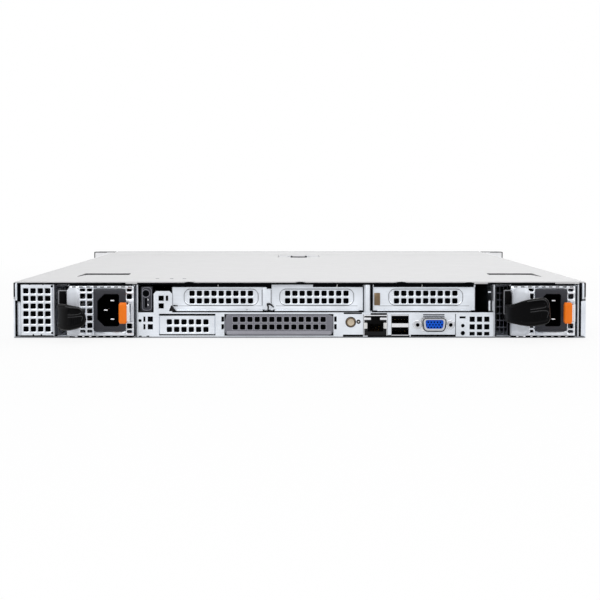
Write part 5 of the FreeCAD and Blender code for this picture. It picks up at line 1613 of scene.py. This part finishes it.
@dataclass
class Cover:
    """Lift-off top cover with pressed recesses and its flush latch."""

    length: float = 648.0
    skirt_low: float = 29.5
    bend: float = 1.6
    roof_end: float = 399.0
    recesses: Pair = (-160.8, 176.7)
    recess_half: float = 19.3
    recess_span: Pair = (80.0, 150.0)
    recess_deep: float = 1.2
    recess_taper: float = 56.0
    well_half: float = 22.3
    well_span: Pair = (564.7, 633.85)
    scoop_half: float = 8.5
    scoop_from: float = 553.0
    well_deep: float = 3.1
    lever_half: float = 22.0
    lever_span: Pair = (565.0, 632.0)
    notches: Row = (-83.6, 0.5, 77.0)
    notch_radius: float = 4.2
    strip_level: float = 41.7
    tabs: Line = ((-132.0, -123.2), (132.3, 142.6), (193.6, 212.0))
    rivets: Row = (-111.6, -100.4, -90.4)
    rivet_from: float = 48.0

    @staticmethod
    def bump(value: np.ndarray, low: float, high: float, soft: float) -> np.ndarray:
        """A step up at low and down at high, each t t (3 - 2 t) over a soft width.

        Args:
            value: where it is read.
            low: middle of the step up.
            high: middle of the step down.
            soft: width of a step.

        Returns:
            Values from 0 to 1.
        """
        up = np.clip((value - low) / soft + 0.5, 0, 1)
        down = np.clip((high - value) / soft + 0.5, 0, 1)
        return (up * up * (3 - 2 * up)) * (down * down * (3 - 2 * down))

    def build(self) -> None:
        """Makes the cover, the latch and the roof over the drives."""
        end = REAR + self.length
        self.sheet("cover_sheet", REAR, end, "cover", ["top_cover"], True)
        self.sheet("bay_roof_sheet", end + 0.6, self.roof_end, "chassis", ["drive_bay_cover"], False)
        self.recess_walls()
        self.rear_edge()
        self.latch()

    def recess_walls(self) -> None:
        """Dark walls that paint the shade in the recesses: one across the far end, one that tapers along the
        outer side.
        """
        # Dark walls: painted shade in the recesses
        walls = Shell("cover_recess_wall_shade")
        top = COVER_TOP - 0.05
        far = REAR + self.recess_span[1]
        share = np.linspace(0.0, 1.0, 12)
        high = self.recess_deep * (1.0 - 0.8 * share)
        corner = np.array([(-0.5, -0.5), (0.5, -0.5), (0.5, 0.5), (-0.5, 0.5)])
        section = corner[None] * np.stack([np.ones(12), high], axis=1)[:, None]
        along = far - 0.8 - self.recess_taper * share
        for x in self.recesses:
            half = math.copysign(self.recess_half - 0.5, x)
            walls.block((x - half, far - 1.6, top - self.recess_deep), (x + half, far - 0.4, top), 0.25)
            path = np.stack([np.full(12, x + half), along, top - high / 2], axis=1)
            walls.add(swept(path, section))
        walls.build(EAR_PAINT_AND_SHADE, "ear_black", "cover")

    def rear_edge(self) -> None:
        """Dark strip under the rear edge, tabs, rivets and the hem of the roof over the drives.

        The strip has an oval bump at each notch and a strip down each skirt that paints the shade on the
        skirt's rear edge.
        """
        strip_shell = Shell("cover_rear_dark_strips").blocks(0.12, (-214.0, 213.0, -0.35, -0.05, 40.55, 41.85))
        levels = [REAR - 0.3, REAR - 0.3, REAR - 0.05, REAR - 0.05]
        for x, wide, tall in [(x, 3.8, 0.95) for x in self.notches] + [(128.2, 3.2, 0.6)]:
            edge = ellipse(wide, tall, 24) + (x, self.strip_level)
            middle = np.broadcast_to((x, self.strip_level), edge.shape)
            strip_shell.rings([middle, edge, edge, middle], levels)
        # Dark strips down the skirts: painted shade on their rear edges
        strip_shell.blocks(0.1, *((side * 216.0, side * 216.95, -0.25, -0.02, 31.2, 41.9) for side in (-1, 1)))
        strip_shell.build(FLAT_BLACK_AND_SHADE, "black_plastic", "cover")
        tabs = Shell("cover_rear_tabs")
        tabs.blocks(0.06, *((left, right, -0.5, -0.36, 41.1, 42.6) for left, right in self.tabs))
        tabs.build(COVER, "cover_sheet", "cover")
        rivets = Shell("cover_rivets")
        head = [(0, 0.4), (0.9, 0.36), (1.4, 0.2), (1.6, 0.0), (1.6, -0.2), (0, -0.2)]
        spots = [(x, REAR + self.rivet_from, COVER_TOP) for x in self.rivets]
        rivets.turn(head, (0.0, 0.0, 0.0), "z", 16, spots)
        rivets.build(GREY, "plain_steel", "cover")
        hem = Shell("bay_roof_hem")
        hem.block((-214.0, 397.4, COVER_TOP - 0.8), (214.0, 399.2, COVER_TOP + 0.25), 0.2, "x", 2)
        hem.build(GREY, "cover_sheet")

    def sheet(
        self, name: str, start: float, end: float, body: str, nodes: Sequence[str], pressed: bool
    ) -> None:
        """Sheet with rounded bends: a profile with two skirts carried along Y.

        The profile rises up the left skirt, turns a quarter circle of the bend's radius, crosses
        the top and comes down the right skirt. The top is lowered by the recesses, ramps that fall
        towards their far end between soft steps, and by the latch well, a product of soft steps in X
        and Y. The rear edge runs round the notches as Y + sqrt(r r - x x).

        Args:
            name: name of the piece.
            start: rear end.
            end: front end.
            body: body that carries it.
            nodes: CAD nodes that it stands for.
            pressed: True for the cover with its recesses and notches.
        """
        inner = HALF_WIDTH - self.bend
        wells = ((self.well_half, self.well_span[0]), (self.scoop_half, self.scoop_from))
        steps = [np.linspace(-inner, inner, 61)]
        rows = [np.linspace(start, end, 40)]
        if pressed:
            fine = np.array([-1.2, -0.8, -0.4, 0.0, 0.4, 0.8, 1.2])
            arc = self.notch_radius * np.sin(np.linspace(-np.pi / 2, np.pi / 2, 17))
            for side in (-1, 1):
                steps += [x + side * self.recess_half + fine for x in self.recesses]
                steps += [side * half + fine / 4 for half, _ in wells]
            steps += [x + arc for x in self.notches]
            rows += [start + edge + fine for edge in self.recess_span]
            rows += [start + edge + fine / 4 for edge in (*self.well_span, self.scoop_from)]
            rows += [start + np.array([0.5, 1.0, 2.0, 3.0, 4.5, 6.0, 8.0])]
        across = np.unique(np.round(np.concatenate(steps), 3))
        along = np.unique(np.round(np.concatenate(rows), 3))
        turn = np.linspace(0, np.pi / 2, 6)[:-1]
        skirt = np.linspace(self.skirt_low, COVER_TOP - self.bend, 4)[:-1]
        left_x = np.concatenate([np.full(3, -HALF_WIDTH), -inner - self.bend * np.cos(turn)])
        left_z = np.concatenate([skirt, COVER_TOP - self.bend + self.bend * np.sin(turn)])
        x = np.concatenate([left_x, across, -left_x[::-1]])
        z = np.concatenate([left_z, np.full(len(across), COVER_TOP), left_z[::-1]])
        px, py = np.meshgrid(x, along)
        pz = np.broadcast_to(z, px.shape).copy()
        if pressed:
            near, far = (start + edge for edge in self.recess_span)
            ramp = self.bump(py, near - 4.0, far, 1.0) * np.clip((py - near) / (far - near), 0.0, 1.0)
            half = self.recess_half
            gone = ramp * sum(self.bump(px, c - half, c + half, 1.6) for c in self.recesses)
            front = start + self.well_span[1]
            well, scoop = (
                self.bump(px, -wide, wide, 0.3) * self.bump(py, start + rear, front, 0.3)
                for wide, rear in wells
            )
            pz -= self.recess_deep * gone + self.well_deep * np.maximum(well, scoop)
            bite = sum(np.sqrt(np.clip(self.notch_radius**2 - (px - c) ** 2, 0, None)) for c in self.notches)
            py = py + bite * np.clip(1 - (py - start) / 12.0, 0, 1) ** 2
        points = np.stack([px, py, pz], axis=-1).reshape(-1, 3)
        shell = Shell(name).add((points, grid_faces(len(along), len(x))))
        shell.build(COVER, "cover_sheet", body, nodes, wall=1.0, facing=(0, 0, 1))

    def latch(self) -> None:
        """Latch lever with a finger pull at its rear end, grip ribs and a round knuckle; the pull's dark
        paint paints the shade in the finger slot.
        """
        lever = Shell("cover_latch_lever")
        start, end = (REAR + edge for edge in self.lever_span)
        half, top = self.lever_half, COVER_TOP
        lever.block((-half, start, top - 2.5), (half, end + 0.6, top), 0.7, "x", 3)
        lever.turn([(0, -half), (1.25, -half), (1.25, half), (0, half)], (0, end, top - 1.25), "x", 20)
        ribs = [(0, 2.6 * i, 0) for i in range(6)]
        lever.block((-12, start + 8, top - 0.4), (12, start + 9.3, top + 0.35), 0.3, "x", 2, ribs)
        lever.build(PALE_GREY, "latch_grey", "cover_latch", ["cover_latch"])
        # Dark finger pull: painted shade in the finger slot
        pull = Shell("cover_latch_pull_shade")
        pull.block((-8.3, start - 2.4, top - 1.6), (8.3, start + 6.0, top + 0.7), 0.6, "x", 3)
        post = [(0, 1.5), (0.7, 1.45), (1.1, 1.1), (1.2, 0.5), (1.2, -1.4), (0, -1.4)]
        pull.turn(post, (0.0, start - 0.9, top), "z", 16, [(x, 0.0, 0.0) for x in (-7.6, 7.6)])
        pull.build(EAR_PAINT_AND_SHADE, "latch_grey", "cover_latch")


@dataclass
class Inside:
    """What shows when the cover is off: board parts, memory, heatsinks and fans.

    Lengths named "from" are counted from the rear face; chips have a middle, half a side and a height.
    """

    board_top: float = 4.0
    sink_x: float = 102.0
    sink_from: float = 300.0
    sink_length: float = 108.0
    sink_half: float = 37.0
    fins: int = 40
    pipes: Row = (24.0, 42.0, 66.0, 84.0)
    dimm_first: float = 142.5
    dimm_pitch: float = 8.2
    dimm_count: int = 8
    dimm_from: float = 288.0
    dimm_length: float = 133.0
    fan_pitch: float = 70.0
    fan_from: float = 492.0
    fan_middle: float = 20.7
    chips: Boxes = (
        (-60, 232, 17, 2.2), (40, 226, 12, 1.8), (120, 228, 10, 1.6), (-150, 236, 9, 1.6),
        (20, 60, 11, 1.8), (-80, 110, 9, 1.6), (100, 120, 12, 2.0), (170, 455, 8, 1.6),
    )
    headers: Row = (-190, -120, -20, 60, 150, 188)

    def build(self) -> None:
        """Makes the inner pieces."""
        self.memory()
        self.heatsinks()
        self.fans()
        self.board_parts()

    def dimm_places(self) -> Points:
        """Places of the memory modules: two banks between the heatsinks and one outside each.

        Returns:
            X of each module, as shifts.
        """
        run = np.arange(self.dimm_count) * self.dimm_pitch
        outer = self.dimm_first + run
        inner = 0.5 * self.dimm_pitch + run
        return [(float(x), 0.0, 0.0) for x in np.concatenate([-outer, -inner, inner, outer])]

    def memory(self) -> None:
        """Memory modules with chips, in black sockets with clips at both ends."""
        places = self.dimm_places()
        start = REAR + self.dimm_from
        end = start + self.dimm_length
        cards = Shell("memory_cards").block((-0.65, start, 8.0), (0.65, end, 38.5), 0.25, "y", 1, places)
        cards.build(BOARD, "circuit_board", replaces=["memory_modules"])
        chips = Shell("memory_chips")
        rows = [(x + side * 1.15, start + 9.5 + 14.2 * i, 0.0)
                for x, _, _ in places for i in range(9) for side in (-1, 1)]
        chips.block((-0.55, -5.0, 17.0), (0.55, 5.0, 30.0), 0.2, "x", 1, rows)
        chips.build(CHIP, "black_plastic")
        sockets = Shell("memory_sockets")
        for low, high in ((-2.9, -0.75), (0.75, 2.9)):
            sockets.block((low, start - 4.05, self.board_top), (high, end + 4.05, 10.1), 0.4, "y", 1, places)
        for y in (start - 3.2, end + 3.2):
            sockets.block((-2.95, y - 1.6, self.board_top), (2.95, y + 1.6, 22.0), 0.5, "y", 1, places)
        sockets.build(BLACK, "black_plastic")

    def heatsinks(self) -> None:
        """Thin fins between the base plates' own, copper pipes and sprung corner screws."""
        fins = Shell("heatsink_fins")
        pipes = Shell("heatsink_pipes")
        screws = Shell("heatsink_screws")
        start = REAR + self.sink_from
        end = start + self.sink_length
        across = np.linspace(-self.sink_half + 0.5, self.sink_half - 0.5, self.fins)
        head = [(0, 7.0), (2.4, 7.0), (3.0, 6.4), (3.0, 4.6), (1.8, 4.2), (1.8, 0.0), (0, 0.0)]
        corners = [(a, b, 0) for a in (-30, 30) for b in (5.0, self.sink_length - 5.0)]
        for x in (-self.sink_x, self.sink_x):
            places = [(x + a, 0, 0) for a in across]
            fins.block((-0.25, start, 12.0), (0.25, end, 36.2), 0.1, "y", 1, places)
            for y in self.pipes:
                line = [(x - 36, start + y, 14.5), (x, start + y, 14.0), (x + 36, start + y, 14.5)]
                pipes.add(swept(smooth_path(line, 1), ellipse(3, 2.2, 12)))
            screws.turn(head, (x, start, 30.5), "z", 16, corners)
        fins.build(ALUMINIUM, "heatsink_aluminium")
        pipes.build(COPPER, "heatsink_aluminium")
        screws.build(STEEL, "plain_steel")

    def fans(self) -> None:
        """Six fans: a rounded rotor with five twisted blades, finger rings and a pull tab."""
        rings = Shell("fan_finger_rings")
        clips = Shell("fan_pull_tabs")
        bead = np.linspace(0, 2 * np.pi, 7)
        hub = [(0, 6.2), (7.6, 6.2), (8.6, 6.6), (9.0, 7.6), (9.0, 35.4), (8.4, 36.0), (0, 36.0)]
        y, z = REAR + self.fan_from, self.fan_middle
        for index in range(6):
            x = (index - 2.5) * self.fan_pitch
            body = f"fan_rotor_{index + 1}"
            rotor = Shell(f"fan_rotor_blades_{index + 1}").turn(hub, (x, y, z), count=28)
            rotor.add(blades((x, y + 8.0, z), 8.7, 17.2, 26.0, 5, 52.0))
            rotor.build(BLACK, "rotor_plastic", body, [body])
            for radius in (12.4, 15.6, 18.2):
                tube = np.stack([radius + 0.6 * np.cos(bead), 1.0 + 0.6 * np.sin(bead)], axis=1)
                rings.turn(tube, (x, y, z), count=28)
            clips.block((x - 9, y + 14, 40.2), (x + 9, y + 36, 41.0), 0.4, "z", 2)
            clips.block((x - 6, y + 20, 40.6), (x + 6, y + 22, 41.5), 0.4, "x", 2)
        rings.build(STEEL, "plain_steel")
        clips.build(ORANGE, "latch_orange")

    def rows_of_eight(self, pitch: float, ends: Pair) -> Points:
        """Places on the board in rows of eight across both heatsinks, at two distances from the rear."""
        across = [side * self.sink_x + pitch * (i - 3.5) for side in (-1, 1) for i in range(8)]
        return [(x, REAR + y, self.board_top) for x in across for y in ends]

    def scattered(
        self, dice: np.random.Generator, across: Pair, along: Pair, count: int
    ) -> Points:
        """Random places on the board within a range of X and a range of lengths from the rear."""
        spots = zip(dice.uniform(*across, count), dice.uniform(*along, count))
        return [(float(x), REAR + float(y), self.board_top) for x, y in spots]

    def board_parts(self) -> None:
        """Capacitors, coils, chips and headers on the motherboard, some in rows and some scattered."""
        top = self.board_top
        dice = np.random.default_rng(7)
        cans = Shell("board_capacitors")
        tall = [(0, 0), (2.6, 0), (2.6, 6.6), (2.3, 7.0), (0, 7.0)]
        low = [(0, 0), (2.0, 0), (2.0, 4.6), (1.7, 5.0), (0, 5.0)]
        cans.turn(tall, (0, 0, 0), "z", 14, self.rows_of_eight(8.6, (276.0, 428.0)))
        cans.turn(low, (0, 0, 0), "z", 12, self.scattered(dice, (-105, 125), (30, 195), 26))
        cans.build(ALUMINIUM, "plain_steel")
        coils = Shell("board_coils")
        rows = self.rows_of_eight(9.0, (264.0, 440.0))
        coils.block((-3.8, -3.8, 0), (3.8, 3.8, 5.4), 0.7, "z", 1, rows)
        coils.build(GREY, "button_grey")
        chips = Shell("board_chips")
        for x, y, half, high in self.chips:
            corner = (x + half, REAR + y + half, top + high)
            chips.block((x - half, REAR + y - half, top), corner, 0.5, "z", 2)
        small = self.scattered(dice, (-200, 200), (210, 262), 60)
        chips.block((-1.6, -1.0, 0), (1.6, 1.0, 1.1), 0.2, "z", 1, small)
        chips.build(CHIP, "black_plastic")
        heads = Shell("board_headers")
        for x in self.headers:
            heads.block((x - 14, REAR + 466, top), (x + 14, REAR + 474, top + 8.5), 0.7, "z", 2)
        heads.block((-4, REAR + 196, top), (70, REAR + 203, top + 9.0), 0.7, "z", 2)
        heads.build(WHITE, "button_beige")
        coin = [(0, 0), (9.4, 0), (10, 0.6), (10, 3.0), (9.4, 3.4), (0, 3.4)]
        Shell("board_coin_cell").turn(coin, (-96, REAR + 226, top), "z", 36).build(STEEL, "plain_steel")


@dataclass
class DriveBay:
    """One drive: lever door, hinge, lights, disk lid and button, measured from the carrier's corner."""

    number: int
    pitch: float = 106.4
    front: float = 410.5
    low: float = 1.6
    door: Outline = (10.4, 98.4, 2.7, 26.3)
    lid_front: float = -21.0
    lid_length: float = 147.0

    def shell(self, name: str) -> Shell:
        """A shell in this drive's own frame."""
        left = (self.number - 3) * self.pitch + 1.0
        return Shell(f"{name}_{self.number}", (left, self.front, self.low), 0.0)

    def build(self) -> None:
        """Makes the pieces of the drive."""
        self.lever()
        self.lid()
        body = f"drive_button_{self.number}"
        cap = self.shell("drive_button_cap").block((1.2, -10.0, 5.4), (8.6, -0.8, 23.6), 1.0, "y", 3)
        cap.block((2.6, -1.4, 9.0), (7.2, -0.5, 10.0), 0.3, "y", 1, [(0, 0, 2.2 * i) for i in range(5)])
        cap.build(ORANGE, "button_grey", body, [body])

    def lever(self) -> None:
        """Swing lever: a door full of round holes, folded at its edge, on a turned hinge."""
        lever = f"drive_lever_{self.number}"
        cells = Windows.regular((20.0, 6.4), (5.1, 5.4), (15, 4), (4.1, 4.1), 2.05)
        left, right, low, high = self.door
        plate, fold = (left + 1.2, right - 0.4, low + 1.2, high - 1.2), (left, right + 0.8, low, high)
        door = self.shell("drive_lever_door").folded(cells, plate, fold, [-2.6, -1.7, -2.6, -6.6], 1.5)
        door.build(LEVER, "lever_plastic", lever, [lever], wall=0.9, facing=(0, 1, 0))
        hinge = self.shell("drive_lever_hinge")
        pin = [(0, 0.3), (1.2, 0.3), (1.2, 2.4), (2.5, 2.6), (2.5, 26.4), (1.2, 26.6), (1.2, 28.7), (0, 28.7)]
        hinge.turn(pin, (101.0, -4.2, 0.0), "z", 24)
        hinge.blocks(0.8, (94.0, 100.6, -6.4, -2.4, 3.0, 26.0))
        hinge.blocks(0.9, (10.6, 14.6, -6.4, -1.2, 6.0, 23.0))
        hinge.build(EAR_PAINT_AND_SHADE, "lever_plastic", lever)

    def lid(self) -> None:
        """Lights of the carrier, and the disk's lid with its spindle cap and six screws."""
        body = f"drive_{self.number}"
        lights = self.shell("drive_lights")
        lights.blocks(0.5, *((3.0, 7.6, -8.2, -7.2, z - 0.9, z + 0.9) for z in (2.4, 26.4)))
        lights.build(GREEN_LENS, "button_grey", body)
        lid = self.shell("drive_disk_lid")
        end = self.lid_front
        lid.block((6.0, end - self.lid_length + 6, 26.8), (98.4, end - 6, 27.6), 0.4, "z", 2)
        lid.turn([(0, 27.9), (16.5, 27.9), (17.2, 27.5), (17.2, 27.0)], (60.0, end - 52.0, 0.0), "z", 40)
        screw = [(0, 27.9), (1.0, 27.9), (1.9, 27.8), (2.1, 27.4)]
        spots = [(x, end + y, 0) for x in (11.0, 93.4) for y in (-14.0, -72.0, -134.0)]
        lid.turn(screw, (0, 0, 0), "z", 14, spots)
        lid.build(ALUMINIUM, "disk_aluminium", body)


@dataclass
class RackEars:
    """Trim of the two rack ears, and the shouldered rail studs on the side walls."""

    power: Pair = (228.0, 33.5)
    front: float = 411.0
    stud: Line = (
        (0.0, -0.2), (2.5, -0.2), (2.5, 1.6), (3.1, 1.7), (3.4, 2.0), (3.4, 2.8), (3.1, 3.15), (1.3, 3.2),
        (1.1, 2.9), (0.0, 2.9),
    )
    stud_rows: Row = (329.0, 39.0, -251.0)
    stud_level: float = 14.5

    def build(self) -> None:
        """Makes the trim of the ears and the studs."""
        self.power_button()
        self.flanges()
        x, _ = self.power
        bar = Shell("front_light_bar", back=self.front)
        bar.blocks(0.5, (-x - 0.6, -x + 2.8, -0.75, -0.1, 6.2, 36.8))
        bar.build(WHITE, "button_beige")
        studs = Shell("rail_stud_heads")
        rows = [(0.0, y, 0.0) for y in self.stud_rows]
        for side in (-1, 1):
            profile = [(radius, side * height) for radius, height in self.stud]
            studs.turn(profile, (side * HALF_WIDTH, 0.0, self.stud_level), "x", 28, rows)
        studs.build(STEEL, "plain_steel", replaces=["rail_studs"])

    def power_button(self) -> None:
        """Power button with its ring, and the lining of the socket below it."""
        x, z = self.power
        rim = [(4.5, -0.4), (4.5, 0.15), (4.9, 0.35), (5.7, 0.3), (6.0, -0.2)]
        face = [(0, -6.8), (4.2, -6.8), (4.2, -0.6), (3.8, -0.15), (2.6, -0.3), (0, -0.42)]
        Shell("power_button_ring").turn(rim, (x, self.front, z), count=40).build(STEEL, "plain_steel")
        cap = Shell("power_button_cap").turn(face, (x, self.front, z), count=36)
        cap.build(GREY, "button_grey", "power_button", ["power_button"])
        socket = Shell("front_socket_lining", back=self.front)
        back, tongue = (x - 6.3, x + 6.3, -6.6, -5.6, 6.2, 10.8), (x - 5.4, x + 5.4, -6.2, -0.9, 8.2, 10.0)
        socket.blocks(0.3, back, tongue)
        socket.build(FLAT_BLACK_AND_SHADE, "black_plastic")

    @staticmethod
    def flanges() -> None:
        """Pale plates on the rear of the ears, with dark edges at the top and outside."""
        flange = Shell("ear_flange_plates", back=0.0)
        edge = Shell("ear_flange_edges", back=0.0)
        for side in (-1, 1):
            flange.blocks(0.3, (side * 217.6, side * 240.8, 388.3, 389.1, 0.5, 42.4))
            edge.blocks(0.15, (side * 226.0, side * 240.8, 388.1, 389.6, 42.1, 42.75))
            edge.blocks(0.15, (side * 239.9, side * 240.95, 388.1, 389.6, 36.0, 42.75))
        flange.build(EAR_SHEET, "zinc_sheet")
        edge.build(EAR_PAINT_AND_SHADE, "ear_black")


KEPT_NODES: tuple[tuple[Finish, tuple[str, ...]], ...] = (
    (INNER_ZINC, ("floor_pan", "psu_bay_walls", "riser_cages", "drive_cage")),
    (ZINC, ("side_walls", "io_panel")),
    (STEEL, ("fasteners", "processors")),
    (EAR_PAINT_AND_SHADE, ("rack_ears", *(f"drive_carrier_{number}" for number in range(1, 5)))),
    (BLACK, ("network_jack", "fan_frames")),
    (BRIGHT, ("usb_ports", "video_port_shell")),
    (BLUE, ("video_port_insert",)),
    (BOARD, ("motherboard", "riser_boards", "drive_backplane")),
    (ALUMINIUM, ("heatsinks", *(f"drive_disk_{number}" for number in range(1, 5)))),
)


def dress_nodes(nodes: dict[str, bpy.types.Object]) -> None:
    """Gives every CAD node that stays in view its finish.

    Args:
        nodes: the CAD objects by name.
    """
    for finish, names in KEPT_NODES:
        for name in names:
            nodes[name].data.materials.clear()
            nodes[name].data.materials.append(finish.material())
            LOG.info("%s: solid dressed with %s", name, finish.name)


def main() -> None:
    logging.basicConfig(level=logging.INFO, format="%(message)s")
    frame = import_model()
    Studio().build()
    dress_nodes(frame["nodes"])
    RearSheets().build()
    SlotTrim().build()
    PortRow().build()
    PowerSupply(
        "left", -185.4, lean=0.0,
        handle_middle=(18.6, 18.3, 17.4, 17.1, 17.0, 17.7, 19.0),
        handle_half=(6.5, 7.0, 9.7, 9.9, 9.2, 8.0, 6.6),
    ).build()
    PowerSupply(
        "right", 149.1, lean=6.5,
        handle_middle=(19.5, 19.2, 19.0, 20.1, 20.9, 22.2, 22.6),
        handle_half=(6.3, 6.4, 7.0, 9.5, 10.3, 10.0, 9.4),
    ).build()
    Cover().build()
    Inside().build()
    for number in range(1, 5):
        DriveBay(number).build()
    RackEars().build()


if __name__ == "__main__":
    main()
